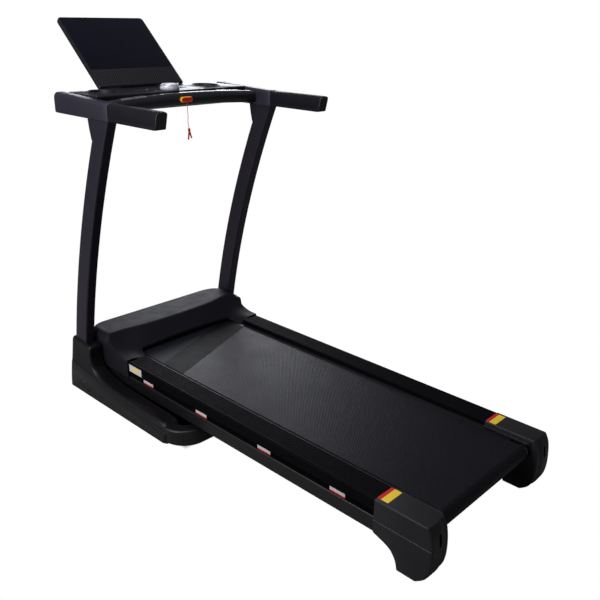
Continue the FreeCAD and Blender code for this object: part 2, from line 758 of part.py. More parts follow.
def cross_tubes():
    """Tubes that tie the chassis rails; the middle one holds the strut's head."""
    inner = D.chassis_out - D.chassis_wide
    places = {"cross_tube_rear": 300, "cross_tube_middle": 948, "cross_tube_front": 1370}
    for label, along in places.items():
        tube = square_tube((-inner, inner), (along, along + 30), (D.chassis_low + 2, D.chassis_low + 34),
                           D.tube_wall, "x")
        if label == "cross_tube_middle":
            ears = [box(across(side, 14, 18), (along + 30, D.strut_head_along + 14),
                        (D.chassis_low + 2, D.strut_head_height + 14)) for _, side in SIDES]
            tube = fuse(tube, *ears)
        subpart(tube, label)


def running_deck():
    """The board that the belt slides on."""
    outline = [(-D.board_half, D.board_rear), (D.board_half, D.board_rear),
               (D.board_half, D.board_front), (-D.board_half, D.board_front)]
    body = pad("running_deck", "XY_Plane", outline, D.board_low, D.board_low + D.board_thick)
    edge_fillet(body, 4, runs_along("z"))
    subpart(body, "running_deck")


def deck_cushions():
    """Rubber blocks between the chassis rails and the board."""
    top = D.chassis_low + D.chassis_tall
    blocks = []
    for _, side in SIDES:
        for along in (314, 619, 928, 1232):
            block = box(across(side, 299, 322), (along - 30, along + 30), (top, D.board_low))
            blocks.append(rounded(block, 3, runs_along("z")))
    subpart(group(*blocks), "deck_cushions")


def side_rail_outline(side):
    """A ribbed foot rail with a skirt at its outer edge, as an outline in X and Z."""
    board_top = D.board_low + D.board_thick
    ribs = 6
    pitch = (D.rail_out - D.rail_in - 16) / ribs
    outline = [(D.rail_in, board_top + 0.3), (D.rail_in, D.rail_top - 3), (D.rail_in + 3, D.rail_top)]
    for i in range(ribs):
        start = D.rail_in + 8 + pitch * i
        outline += [(start, D.rail_top), (start + 1, D.rail_top - 1.5),
                    (start + 2.6, D.rail_top - 1.5), (start + 3.6, D.rail_top)]
    outline += [(D.rail_out - 5, D.rail_top), (D.rail_out, D.rail_top - 5), (D.rail_out, D.skirt_low),
                (D.rail_out - D.skirt_wall, D.skirt_low), (D.rail_out - D.skirt_wall, board_top + 0.3)]
    return [(side * u, v) for u, v in outline]


def side_rails():
    for word, side in SIDES:
        body = pad(f"side_rail_{word}", "XZ_Plane", side_rail_outline(side), D.rail_rear, D.rail_front)
        subpart(body, f"side_rail_{word}")


CAP_OUTLINE = [(22, 0), (0, 18), (-13, 43), (-19, 76), (-19.5, 110), (-17, 140), (-12, 165), (-2, 185),
               (2, 187), (176, 187), (172, 77), (136, 65), (112, 52), (96, 30), (88, 0)]


def end_cap_shape():
    """The moulded foot at the deck's rear corner, hollow and open to the front, for the right side."""
    smooth = ((0, 6), (10, 14))
    low, high = float(D.rail_in), float(D.rail_out)
    wall = float(D.cap_wall)
    outer = slab(CAP_OUTLINE, low, high, smooth)
    outer = soften(outer, 3, lambda edge: edge.BoundBox.ZMin > 186 and edge.BoundBox.YLength > 100)
    inner = inset(CAP_OUTLINE, wall)
    inner[9] = (185, inner[9][1])
    inner[10] = (185, inner[10][1])
    hollow = slab(inner, low + wall, high - wall, ((0, 6), (10, 14)))
    axle_slot = Part.makeBox(wall + 4, 40, 18, Vector(low - 2, 18, float(D.roller_height) - 9))
    bolt_slot = Part.makeBox(12, 12, 40, Vector(low + 37, -25, 118))
    bolt_slot = soften(bolt_slot, 5.5, lambda edge: edge.BoundBox.YLength > 11)
    groove = Part.makeBox(2, 170, 6, Vector(high - 1, 4, 119))
    rail_gate = Part.makeBox(31, 90, 51, Vector(295.5, 100, 75.5))
    board_gate = Part.makeBox(wall + 2, 130, 19.2, Vector(low - 1, float(D.board_rear) - 1.5, 150.5))
    shell = outer.cut(hollow).cut(axle_slot).cut(bolt_slot).cut(groove)
    return shell.cut(rail_gate).cut(board_gate)


def end_caps():
    for word, side in SIDES:
        shape_part(f"end_cap_{word}", mirrored(end_cap_shape(), side))


def tension_bolts():
    """Hex bolts behind the caps' slots that pull the rear roller straight."""
    bolts = []
    for _, side in SIDES:
        x = side * 293
        axis = Vector(0, 1, 0)
        shank = Part.makeCylinder(4, 32.8, Vector(x, -8, 145), axis)
        ring = [Vector(x + 6.5 * math.cos(a), -8, 145 + 6.5 * math.sin(a))
                for a in (math.radians(60 * i) for i in range(6))]
        head = Part.Face(Part.makePolygon(ring + ring[:1])).extrude(Vector(0, 6, 0))
        bolts.append(head.fuse(shank).removeSplitter())
    shape_part("tension_bolts", Part.makeCompound(bolts))


# ---------------------------------------------------------------- belt drive

def stadium(y_rear, y_front, z, radius, x_low, x_high):
    """A solid with two round ends of one radius, around two axles at one height."""
    top, low = z + radius, z - radius
    rear_arc = Part.Arc(Vector(x_low, y_rear, low), Vector(x_low, y_rear - radius, z),
                        Vector(x_low, y_rear, top)).toShape()
    front_arc = Part.Arc(Vector(x_low, y_front, top), Vector(x_low, y_front + radius, z),
                         Vector(x_low, y_front, low)).toShape()
    upper = Part.makeLine(Vector(x_low, y_rear, top), Vector(x_low, y_front, top))
    lower = Part.makeLine(Vector(x_low, y_front, low), Vector(x_low, y_rear, low))
    face = Part.Face(Part.Wire([rear_arc, upper, front_arc, lower]))
    return face.extrude(Vector(x_high - x_low, 0, 0))


def running_belt():
    """One closed loop around both rollers and the board."""
    rear, front, z = float(D.rear_roller), float(D.front_roller), float(D.roller_height)
    inner_radius = float(D.roller_radius) + 0.3
    half = float(D.belt_half)
    outer = stadium(rear, front, z, inner_radius + float(D.belt_thick), -half, half)
    inner = stadium(rear, front, z, inner_radius, -half - 5, half + 5)
    shape_part("running_belt", outer.cut(inner))


def rollers():
    """Steel rollers that turn on fixed axles; the front one ends in its drive pulley."""
    half = D.roller_half
    z = D.roller_height
    bore = D.axle_radius + D.pin_play
    end_plug = 14
    barrel = (-half + end_plug, half - end_plug)
    rear = cut(rod("x", (D.rear_roller, z), D.roller_radius, (-half, half)),
               rod("x", (D.rear_roller, z), bore, (-half - 5, half + 5)),
               rod("x", (D.rear_roller, z), D.roller_radius - 3, barrel))
    subpart(rear, "rear_roller")
    drum = rod("x", (D.front_roller, z), D.roller_radius, (-half, half))
    pulley = rod("x", (D.front_roller, z), D.pulley_radius, (half, half + 22))
    front = cut(fuse(drum, pulley), rod("x", (D.front_roller, z), bore, (-half - 5, half + 27)),
                rod("x", (D.front_roller, z), D.roller_radius - 3, barrel))
    subpart(front, "front_roller")


def roller_axles():
    """Fixed shafts through the rollers, seated in brackets on the chassis rails."""
    reach = D.chassis_out - D.chassis_wide
    axles = []
    for along in (D.rear_roller, D.front_roller):
        shaft = rod("x", (along, D.roller_height), D.axle_radius, (-reach - 6, reach + 6))
        feet = [box(across(side, reach - 6, reach + 6), (along - 9, along + 9),
                    (D.chassis_low + D.chassis_tall, D.roller_height + 4)) for _, side in SIDES]
        axles.append(fuse(shaft, *feet))
    subpart(group(*axles), "roller_axles")


def drive_motor():
    """The motor's round housing with its two mounting feet."""
    centre = (D.motor_along, D.motor_height)
    housing = rod("x", centre, D.motor_radius, (-10, 170))
    end_bell = rod("x", centre, D.motor_radius - 8, (-24, 192))
    feet = [box((x, x + 24), (D.motor_along - 40, D.motor_along + 40), (90.3, 112)) for x in (10, 126)]
    bore = rod("x", centre, 6.06, (-30, 200))
    subpart(cut(fuse(housing, end_bell, *feet), bore), "drive_motor")


def motor_rotor():
    """The turning shaft with a flywheel at one end and the small pulley at the other."""
    centre = (D.motor_along, D.motor_height)
    shaft = rod("x", centre, 6, (-50, 262))
    flywheel = rod("x", centre, D.motor_radius - 2, (-50, -28))
    pulley = rod("x", centre, 15, (236, 258))
    subpart(fuse(shaft, flywheel, pulley), "motor_rotor")


def drive_belt():
    """The ribbed belt from the motor's pulley to the front roller's pulley."""
    small = 15 + 0.3
    big = float(D.pulley_radius) + 0.3
    ya, za = float(D.motor_along), float(D.motor_height)
    yb, zb = float(D.front_roller), float(D.roller_height)
    outer = open_belt(ya, za, small + 2, yb, zb, big + 2, 238, 255)
    inner = open_belt(ya, za, small, yb, zb, big, 236, 257)
    shape_part("drive_belt", outer.cut(inner))


def open_belt(ya, za, ra, yb, zb, rb, x_low, x_high):
    """The filled outline of a belt around two pulleys of different radii."""
    apart = math.hypot(yb - ya, zb - za)
    heading = math.atan2(zb - za, yb - ya)
    open_angle = math.acos((ra - rb) / apart)

    def rim(y, z, radius, angle):
        return Vector(x_low, y + radius * math.cos(angle), z + radius * math.sin(angle))

    a_up, a_down = rim(ya, za, ra, heading + open_angle), rim(ya, za, ra, heading - open_angle)
    b_up, b_down = rim(yb, zb, rb, heading + open_angle), rim(yb, zb, rb, heading - open_angle)
    a_back = rim(ya, za, ra, heading + math.pi)
    b_back = rim(yb, zb, rb, heading)
    wire = Part.Wire([Part.Arc(a_down, a_back, a_up).toShape(), Part.makeLine(a_up, b_up),
                      Part.Arc(b_up, b_back, b_down).toShape(), Part.makeLine(b_down, a_down)])
    return Part.Face(wire).extrude(Vector(x_high - x_low, 0, 0))


def motor_pan():
    """The tray under the motor, hung between the chassis rails."""
    half = D.chassis_out - D.chassis_wide - 0.5
    floor = box((-half, half), (1408, 1626), (D.chassis_low + 11, D.chassis_low + 14))
    lip = box((-half, half), (1626, 1630), (D.chassis_low + 11, 146))
    socket = box((-262.2, -221.8), (1620, 1635), (99.8, 132.2))
    subpart(cut(fuse(floor, lip), socket), "motor_pan")


def motor_controller():
    """The drive electronics: a flat box with a finned heat sink."""
    case = box((-235, -90), (1480, 1600), (90.3, 128))
    fins = [box((-230 + 12 * i, -226 + 12 * i), (1485, 1595), (128, 146)) for i in range(12)]
    subpart(fuse(case, *fins), "motor_controller")


def power_inlet():
    """The mains socket in the front lip of the pan."""
    block = box((-262, -222), (1622, 1646), (100, 132))
    recess = box((-256, -228), (1632, 1650), (105, 127))
    pins = [rod("y", (x, 116), 2, (1630, 1643)) for x in (-249, -242, -235)]
    subpart(fuse(cut(block, recess), *pins), "power_inlet")


def power_switch():
    """The rocker beside the inlet, in its own frame."""
    rocker = pad("power_switch", "YZ_Plane",
                 [(1641, 104), (1647, 105), (1644.5, 116), (1647, 127), (1641, 128)], -197, -179)
    subpart(rocker, "power_switch")
    frame = cut(box((-204, -172), (1630.3, 1642), (99, 133)), box((-198, -178), (1632, 1650), (102, 130)))
    subpart(frame, "switch_frame")


# ---------------------------------------------------------------- hood and strut

HOOD_OUTLINE = [(1346, 120), (1346, 189), (1390, 191), (1431, 206), (1468, 231), (1492, 247), (1530, 250),
                (1600, 246), (1640, 236), (1640, 190), (1637, 150), (1562, 120)]
HOOD_INSIDE = [(1340, 100), (1340, 186), (1389.5, 187.5), (1429.5, 202.5), (1466, 227.5), (1490.5, 243.5),
               (1530, 246.5), (1599.5, 242.5), (1636.5, 233), (1636.5, 190), (1633.5, 150), (1633.5, 100)]


def motor_hood():
    """The cover over the motor, with a mouth that lets the belt run underneath."""
    wall = 3.0
    half = float(D.rail_out) - 1
    smooth = ((1, 7),)
    outer = slab(HOOD_OUTLINE, -half, half, smooth)
    outer = soften(outer, 6, lambda edge: edge.BoundBox.XLength < 0.1 and edge.BoundBox.YLength > 100)
    hollow = slab(HOOD_INSIDE, -half + wall, half - wall, smooth)
    mouth = Part.makeBox(2 * 236, 80, 200, Vector(-236, 1330, 100))
    mouth = soften(mouth, 25, lambda edge: edge.BoundBox.ZLength > 150 and edge.BoundBox.YMin > 1400)
    shape_part("motor_hood", outer.cut(hollow).cut(mouth).cut(socket_gate()))


def socket_gate():
    """The gap in the hood's front for the inlet and the switch."""
    return Part.makeBox(110, 30, 50, Vector(-272, 1620, 90))


def gas_strut():
    """The lift strut: a barrel pinned to the floor frame and a rod that reaches the deck's ears."""
    foot = Vector(0, float(D.strut_foot_along), float(D.strut_foot_height))
    head = Vector(0, float(D.strut_head_along), float(D.strut_head_height))
    way = (head - foot).normalize()
    closed = (head - foot).Length
    barrel_end = foot + way * 330
    barrel = Part.makeCylinder(float(D.strut_radius), 310, foot + way * 20, way)
    eye = Part.makeCylinder(11, 26, Vector(-13, foot.y, foot.z), Vector(1, 0, 0))
    bore = Part.makeCylinder(float(D.strut_rod_radius) + 0.06, 300, foot + way * 40, way)
    pin_bore = Part.makeCylinder(6.06, 30, Vector(-15, foot.y, foot.z), Vector(1, 0, 0))
    neck = Part.makeCylinder(7, 14, foot + way * 8, way)
    shape_part("strut_barrel", barrel.fuse([eye, neck]).cut(bore).cut(pin_bore).removeSplitter())
    inside = (barrel_end - foot).Length - 240
    rod_shape = Part.makeCylinder(float(D.strut_rod_radius), closed - inside - 8, foot + way * inside, way)
    head_eye = Part.makeCylinder(9, 26, Vector(-13, head.y, head.z), Vector(1, 0, 0))
    shape_part("strut_rod", rod_shape.fuse(head_eye).removeSplitter())


# ---------------------------------------------------------------- fasteners

def upright_bolts():
    """Hex bolts through each upright, just above its foot."""
    bolts = []
    for _, side in SIDES:
        for z in (86, 176):
            y = upright_front(z) - float(D.upright_deep) / 2
            x = side * (float(D.upright_out) + 0.0)
            axis = Vector(side, 0, 0)
            ring = [Vector(x, y + 8 * math.cos(a), z + 8 * math.sin(a))
                    for a in (math.radians(60 * i) for i in range(6))]
            bolts.append(Part.Face(Part.makePolygon(ring + ring[:1])).extrude(axis * 7))
    shape_part("upright_bolts", Part.makeCompound(bolts))


def boot_screws():
    """Button-head screws sunk in the boots' outer faces."""
    screws = []
    for _, side in SIDES:
        head = Part.makeCylinder(3.9, 3, Vector(side * (float(D.boot_out) - 6), 1560, 48),
                                 Vector(side, 0, 0))
        recess = Part.makeCylinder(1.6, 1.5, Vector(side * (float(D.boot_out) - 4.4), 1560, 48),
                                   Vector(side, 0, 0))
        screws.append(head.cut(recess))
    shape_part("boot_screws", Part.makeCompound(screws))


BUILDERS = [
    base_rails, fold_pins, base_rear_tube, base_front_tube, boots, base_feet, transport_wheels,
    uprights, arms, handle_bar, pulse_plates, console_tray, console_shell, control_knob, screen,
    screen_bracket, safety_key, key_cord, key_clip, chassis_rails, cross_tubes, running_deck,
    deck_cushions, side_rails, end_caps, tension_bolts, running_belt, rollers, roller_axles,
    drive_motor, motor_rotor, drive_belt, motor_pan, motor_controller, power_inlet, power_switch,
    motor_hood, gas_strut, upright_bolts, boot_screws,
]


def check_document():
    """Stops before anything is written if an object failed or a shape is not sound."""
    doc.recompute()
    failed = [item.Label for item in doc.Objects if {"Invalid", "Error"} & set(item.State)]
    unsound = [item.Label for item in SUBPARTS if item.Shape.isNull() or not item.Shape.isValid()]
    if failed or unsound:
        raise RuntimeError(f"failed: {failed}, unsound: {unsound}")


def export():
    os.makedirs("parts", exist_ok=True)
    for item in SUBPARTS:
        item.Shape.exportStep(f"parts/{item.Label}.step")
    print(f"{len(SUBPARTS)} sub-parts written")


for builder in BUILDERS:
    builder()
check_document()
export()
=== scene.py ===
import math

import bmesh
import bpy
from mathutils import Matrix, Vector


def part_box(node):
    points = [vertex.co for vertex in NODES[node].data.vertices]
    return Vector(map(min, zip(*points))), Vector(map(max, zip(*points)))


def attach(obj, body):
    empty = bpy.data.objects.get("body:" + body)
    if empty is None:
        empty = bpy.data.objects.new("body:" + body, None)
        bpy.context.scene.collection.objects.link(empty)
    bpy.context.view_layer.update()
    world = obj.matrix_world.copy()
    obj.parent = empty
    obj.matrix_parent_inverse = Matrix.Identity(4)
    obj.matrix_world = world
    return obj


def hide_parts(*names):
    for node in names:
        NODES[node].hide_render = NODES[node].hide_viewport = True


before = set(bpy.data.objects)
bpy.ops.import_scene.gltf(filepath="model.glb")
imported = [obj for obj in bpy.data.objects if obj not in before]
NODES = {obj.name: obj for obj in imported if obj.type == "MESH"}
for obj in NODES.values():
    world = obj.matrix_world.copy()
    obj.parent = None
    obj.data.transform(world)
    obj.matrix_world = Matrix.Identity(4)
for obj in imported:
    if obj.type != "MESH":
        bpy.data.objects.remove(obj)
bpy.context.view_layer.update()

# Folding motorised treadmill. The frame is in metres, +Z up, +Y towards the console, +X to the runner's
# right. Pieces are drawn in millimetres from the end caps' rear top edge, and at() turns them into metres
# of the frame. What comes in pairs is drawn for the right side and mirrored by its side, +1 or -1.
COLLECTION = bpy.context.scene.collection
MM = 0.001
CAP_OVERHANG = 19.5
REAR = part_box("end_cap_right")[0].y + CAP_OVERHANG * MM
SIDES = (("left", -1), ("right", 1))


def at(x, y, z):
    """A point given in millimetres from the rear edge, in the frame's metres."""
    return Vector((x * MM, y * MM + REAR, z * MM))


def extent(node):
    """A node's low and high corners in millimetres from the rear edge."""
    shift = Vector((0, REAR, 0))
    return tuple(tuple((corner - shift) / MM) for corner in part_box(node))


def add_object(name, data):
    thing = bpy.data.objects.new(name, data)
    COLLECTION.objects.link(thing)
    return thing


# ---------------------------------------------------------------- shader nodes

# Detail and roughness of the two kinds of noise, and the part of the noise's span that is used.
CLOUDY = (5.0, 0.6)
SMEARED = (6.0, 0.7)
NOISE_LOW, NOISE_HIGH = 0.3, 0.7


def new_material(name):
    material = bpy.data.materials.new(name)
    material.use_nodes = True
    return material, material.node_tree


def set_inputs(tree, node, inputs):
    """Sets a node's inputs to numbers or colours, or links them from other nodes."""
    for name, value in inputs.items():
        if isinstance(value, bpy.types.NodeSocket):
            tree.links.new(value, node.inputs[name])
        else:
            node.inputs[name].default_value = value


def add_node(tree, kind, inputs=None):
    node = tree.nodes.new("ShaderNode" + kind)
    set_inputs(tree, node, inputs or {})
    return node


def ramp(tree, source, dark, light):
    """A noise turned into a drift between two colours."""
    node = add_node(tree, "ValToRGB", {"Fac": source})
    stops = ((NOISE_LOW, dark), (NOISE_HIGH, light))
    for element, (position, colour) in zip(node.color_ramp.elements, stops):
        element.position = position
        element.color = (*colour, 1)
    return node.outputs["Color"]


def noise(tree, vector, scale, kind):
    detail, roughness = kind
    return add_node(tree, "TexNoise", {"Scale": scale, "Detail": detail, "Roughness": roughness,
                                       "Vector": vector}).outputs["Fac"]


def remap(tree, source, low, high, start, end):
    """Maps start..end onto low..high."""
    return add_node(tree, "MapRange", {"From Min": start, "From Max": end, "To Min": low, "To Max": high,
                                       "Value": source}).outputs["Result"]


def calculate(tree, operation, first, second):
    """A math node on two sockets, or on a socket and a number."""
    node = tree.nodes.new("ShaderNodeMath")
    node.operation = operation
    set_inputs(tree, node, {0: first, 1: second})
    return node.outputs["Value"]


def bump(tree, height, strength, distance, below=None):
    node = add_node(tree, "Bump", {"Strength": strength, "Distance": distance, "Height": height})
    if below is not None:
        tree.links.new(below, node.inputs["Normal"])
    return node.outputs["Normal"]


def blend(tree, share, colour, other):
    """Goes over from a socket's colour to a plain one."""
    node = tree.nodes.new("ShaderNodeMix")
    node.data_type = "RGBA"
    set_inputs(tree, node, {"Factor": share, "A": colour, "B": (*other, 1)})
    return node.outputs["Result"]


# ---------------------------------------------------------------- camera, floor and light

CAMERA_TARGET = (346, 1103, 321)
CAMERA_DISTANCE = 2.969
CAMERA_AZIMUTH = math.radians(-46.766)
CAMERA_ELEVATION = math.radians(21.459)
CAMERA_ROLL = math.radians(1.063)
CAMERA_LENS = 43.488
CAMERA_SENSOR = 36.0

FLOOR_REACH = 30.0
FLOOR_COLOUR = (0.30, 0.29, 0.275, 1)
# The painted shadow on the floor under the deck: how far past the boots' inner faces it goes and how soft its
# edge is there, where it begins past the rear tube, where it fades before the front tube's front, how far a
# place on the floor looks for cover, and between which open shares it turns from black to white.
SHADE_PAST_BOOTS = 22
SHADE_SOFT = 0.012
SHADE_REAR = (0.015, 0.045)
SHADE_FRONT = 0.03
COVER_REACH = 0.7
COVER_SHARES = (0.32, 0.5)

WORLD_COLOUR = (0.90, 0.92, 1.0, 1)
WORLD_STRENGTH = 0.17
# Each light: its place and what it faces, its width and height in metres, watts and colour.
LIGHTS = {
    "window": ((2.1, 3.0, 1.7), (0.1, 0.35, 0.15), (1.9, 1.1), 46, (0.93, 0.94, 1.0)),
    "overhead": ((-0.6, 0.2, 3.2), (0, 0, 0), (2.4, 1.2), 36, (0.90, 0.92, 1.0)),
    "near_side": ((-3.2, 0.7, 1.1), (0, 0, 0.4), (2.6, 1.8), 50, (1.0, 0.96, 0.98)),
    "near_top": ((-2.0, -0.1, 1.9), (-0.3, 0.3, 1.0), (0.9, 0.7), 22, (0.93, 0.90, 1.0)),
}


def add_camera():
    azimuth, elevation, roll = CAMERA_AZIMUTH, CAMERA_ELEVATION, CAMERA_ROLL
    back = Vector((math.sin(azimuth) * math.cos(elevation), -math.cos(azimuth) * math.cos(elevation),
                   math.sin(elevation)))
    right = (-back).cross(Vector((0, 0, 1))).normalized()
    up = right.cross(-back)
    rolled_right = right * math.cos(roll) + up * math.sin(roll)
    rolled_up = up * math.cos(roll) - right * math.sin(roll)
    data = bpy.data.cameras.new("camera")
    data.lens = CAMERA_LENS
    data.sensor_width = CAMERA_SENSOR
    camera = add_object("camera", data)
    matrix = Matrix((rolled_right, rolled_up, back)).transposed().to_4x4()
    matrix.translation = at(*CAMERA_TARGET) + back * CAMERA_DISTANCE
    camera.matrix_world = matrix
    bpy.context.scene.camera = camera


def add_lights():
    for name, (place, target, size, power, colour) in LIGHTS.items():
        data = bpy.data.lights.new(name, "AREA")
        data.shape = "RECTANGLE"
        data.size, data.size_y = size
        data.energy = power
        data.color = colour
        light = add_object(name, data)
        light.location = place
        facing = Vector(target) - Vector(place)
        light.rotation_euler = facing.to_track_quat("-Z", "Y").to_euler()


def show_two_ways(tree, output_kind, seen, lit):
    """Gives a backdrop one shader for the eye and another for what it throws onto the object."""
    for_eye = add_node(tree, "LightPath").outputs["Is Camera Ray"]
    mix = add_node(tree, "MixShader", {"Fac": for_eye, 1: lit.outputs[0], 2: seen.outputs[0]})
    add_node(tree, output_kind, {"Surface": mix.outputs[0]})


def floor_painted_shadow(tree):
    """White everywhere, but painted dark where the deck covers the floor between the boots: a painted shadow.
    """
    place = add_node(tree, "TexCoord").outputs["Object"]
    parts = add_node(tree, "SeparateXYZ", {0: place}).outputs
    half = (extent("boot_right")[0][0] + SHADE_PAST_BOOTS) * MM
    rear = extent("base_rear_tube")[0][1] * MM + REAR
    front = extent("base_front_tube")[1][1] * MM + REAR
    across = calculate(tree, "ABSOLUTE", parts["X"], 0.0)
    cover = add_node(tree, "AmbientOcclusion", {"Distance": COVER_REACH}).outputs["AO"]
    bounds = (
        remap(tree, parts["Y"], 1.0, 0.0, rear + SHADE_REAR[0], rear + SHADE_REAR[1]),
        remap(tree, parts["Y"], 0.0, 1.0, front - SHADE_FRONT, front),
        remap(tree, cover, 0.0, 1.0, *COVER_SHARES),
    )
    bright = remap(tree, across, 0.0, 1.0, half - SHADE_SOFT, half + SHADE_SOFT)
    for bound in bounds:
        bright = calculate(tree, "MAXIMUM", bright, bound)
    return bright


def add_floor():
    """A plain pale sweep, darker to the object than to the eye, with a painted shadow where the deck covers
    it.
    """
    mesh = bpy.data.meshes.new("floor")
    corners = ((-1, -1), (1, -1), (1, 1), (-1, 1))
    mesh.from_pydata([(FLOOR_REACH * x, FLOOR_REACH * y, 0) for x, y in corners], [], [(0, 1, 2, 3)])
    floor = add_object("floor", mesh)
    material, tree = new_material("floor_paper")
    tree.nodes.clear()
    # The emission's strength carries the painted shadow under the deck.
    bright = add_node(tree, "Emission", {"Strength": floor_painted_shadow(tree)})
    dull = add_node(tree, "BsdfDiffuse", {"Color": FLOOR_COLOUR})
    show_two_ways(tree, "OutputMaterial", bright, dull)
    mesh.materials.append(material)


def add_world():
    world = bpy.data.worlds.new("studio")
    bpy.context.scene.world = world
    world.use_nodes = True
    tree = world.node_tree
    tree.nodes.clear()
    white = add_node(tree, "Background", {"Color": (1, 1, 1, 1)})
    dim = add_node(tree, "Background", {"Color": WORLD_COLOUR, "Strength": WORLD_STRENGTH})
    show_two_ways(tree, "OutputWorld", white, dim)


def add_studio():
    add_floor()
    add_world()
    bpy.context.scene.view_settings.view_transform = "Standard"
    add_lights()


# ---------------------------------------------------------------- materials

# Pointiness span over which convex edges turn lighter: partly wear, partly a painted highlight.
EDGE_LIGHT_FROM, EDGE_LIGHT_TO = 0.51, 0.58
CLOUD_SCALE, SMEAR_SCALE = 6.0, 23.0
COAT_ROUGHNESS = 0.08
# Strength and distance of the surface's slow unevenness, and the strength of its grain.
CLOUD_BUMP = (0.05, 0.002)
GRAIN_STRENGTH = 0.3


def worn_and_highlit_edges(tree, colour, light, amount):
    """Lightens a colour along convex edges: partly wear, as handled plastic and paint go, partly a painted
    highlight.
    """
    pointiness = add_node(tree, "NewGeometry").outputs["Pointiness"]
    edge = remap(tree, pointiness, 0.0, amount, EDGE_LIGHT_FROM, EDGE_LIGHT_TO)
    return blend(tree, edge, colour, tuple(min(1.0, 3.0 * channel) for channel in light))


def grained(name, dark, light, roughness, grain, specular=0.3, coat=0.0, metallic=0.0, edge_wear_and_highlight=0.35):
    """Moulded or painted surface: a fine pebble grain, cloudy gloss and edges a little brighter, partly worn,
    partly a painted highlight.
    """
    material, tree = new_material(name)
    place = add_node(tree, "TexCoord").outputs["Object"]
    cloud = noise(tree, place, CLOUD_SCALE, CLOUDY)
    smear = noise(tree, place, SMEAR_SCALE, SMEARED)
    grain_scale, grain_depth = grain
    pebbles = add_node(tree, "TexVoronoi", {"Scale": grain_scale, "Vector": place}).outputs["Distance"]
    fine = bump(tree, pebbles, GRAIN_STRENGTH, grain_depth)
    set_inputs(tree, tree.nodes["Principled BSDF"], {
        "Base Color": worn_and_highlit_edges(tree, ramp(tree, cloud, dark, light), light, edge_wear_and_highlight),
        "Roughness": remap(tree, smear, *roughness, NOISE_LOW, NOISE_HIGH),
        "Normal": bump(tree, cloud, *CLOUD_BUMP, fine),
        "Specular IOR Level": specular,
        "Coat Weight": coat,
        "Coat Roughness": COAT_ROUGHNESS,
        "Metallic": metallic,
    })
    return material


def plain_metal(name, colour, roughness, brush=(1, 60, 60)):
    """Brushed or ground metal with fine lines."""
    material, tree = new_material(name)
    place = add_node(tree, "TexCoord").outputs["Object"]
    stretched = add_node(tree, "Mapping", {"Scale": brush, "Vector": place}).outputs["Vector"]
    lines = noise(tree, stretched, 20.0, SMEARED)
    darker = tuple(0.8 * channel for channel in colour)
    set_inputs(tree, tree.nodes["Principled BSDF"], {
        "Base Color": ramp(tree, lines, darker, colour),
        "Roughness": remap(tree, lines, roughness - 0.06, roughness + 0.1, 0.0, 1.0),
        "Normal": bump(tree, lines, 0.15, 0.0003),
        "Metallic": 1.0,
    })
    return material


SPLICE_SLOPE = 0.364
SPLICE_REAR, SPLICE_FRONT = 1230, 1352
SPLICE_SOFT = 0.001
BELT_DARK, BELT_LIGHT = (0.0038, 0.0038, 0.0058), (0.0050, 0.0050, 0.0074)
BELT_SPLICE = (0.0040, 0.0044, 0.0056)
BELT_FRONT = (0.0110, 0.0125, 0.0150)
DIAMOND_SCALE, DIAMOND_DEPTH = 62.0, 0.0007
BELT_GLOSS = (0.36, 0.44)
FRONT_DULLER, SPLICE_DULLER = 0.16, 0.22
BELT_SPECULAR = 0.135


def belt_diamonds(tree, place):
    """Two sets of slanted waves that cross."""
    heights = []
    for angle in (45, -45):
        turned_place = add_node(tree, "Mapping", {"Rotation": (0, 0, math.radians(angle)), "Vector": place})
        wave = add_node(tree, "TexWave", {"Scale": DIAMOND_SCALE, "Vector": turned_place.outputs["Vector"]})
        heights.append(wave.outputs["Fac"])
    return calculate(tree, "MULTIPLY", *heights)


def belt_material():
    """Running surface with a fine diamond emboss up to a slanted splice: a smooth band, then a plain,
    lighter stretch up to the hood."""
    material, tree = new_material("belt_surface")
    place = add_node(tree, "TexCoord").outputs["Object"]
    parts = add_node(tree, "SeparateXYZ", {0: place}).outputs
    slanted = calculate(tree, "SUBTRACT", parts["Y"], calculate(tree, "MULTIPLY", parts["X"], SPLICE_SLOPE))
    rear, front = SPLICE_REAR * MM + REAR, SPLICE_FRONT * MM + REAR
    past_rear = remap(tree, slanted, 0, 1, rear - SPLICE_SOFT, rear + SPLICE_SOFT)
    past_front = remap(tree, slanted, 0, 1, front - SPLICE_SOFT, front + SPLICE_SOFT)
    rubber = ramp(tree, noise(tree, place, 3.0, CLOUDY), BELT_DARK, BELT_LIGHT)
    spliced = blend(tree, past_rear, rubber, BELT_SPLICE)
    embossed = calculate(tree, "SUBTRACT", 1.0, past_rear)
    diamonds = calculate(tree, "MULTIPLY", belt_diamonds(tree, place), embossed)
    gloss = remap(tree, noise(tree, place, 9.0, SMEARED), *BELT_GLOSS, NOISE_LOW, NOISE_HIGH)
    band = calculate(tree, "SUBTRACT", past_rear, past_front)
    dulled = calculate(tree, "ADD", gloss, calculate(tree, "MULTIPLY", past_front, FRONT_DULLER))
    dulled = calculate(tree, "ADD", dulled, calculate(tree, "MULTIPLY", band, SPLICE_DULLER))
    set_inputs(tree, tree.nodes["Principled BSDF"], {
        "Base Color": blend(tree, past_front, spliced, BELT_FRONT),
        "Normal": bump(tree, diamonds, 0.6, DIAMOND_DEPTH),
        "Roughness": dulled,
        "Specular IOR Level": BELT_SPECULAR,
    })
    return material


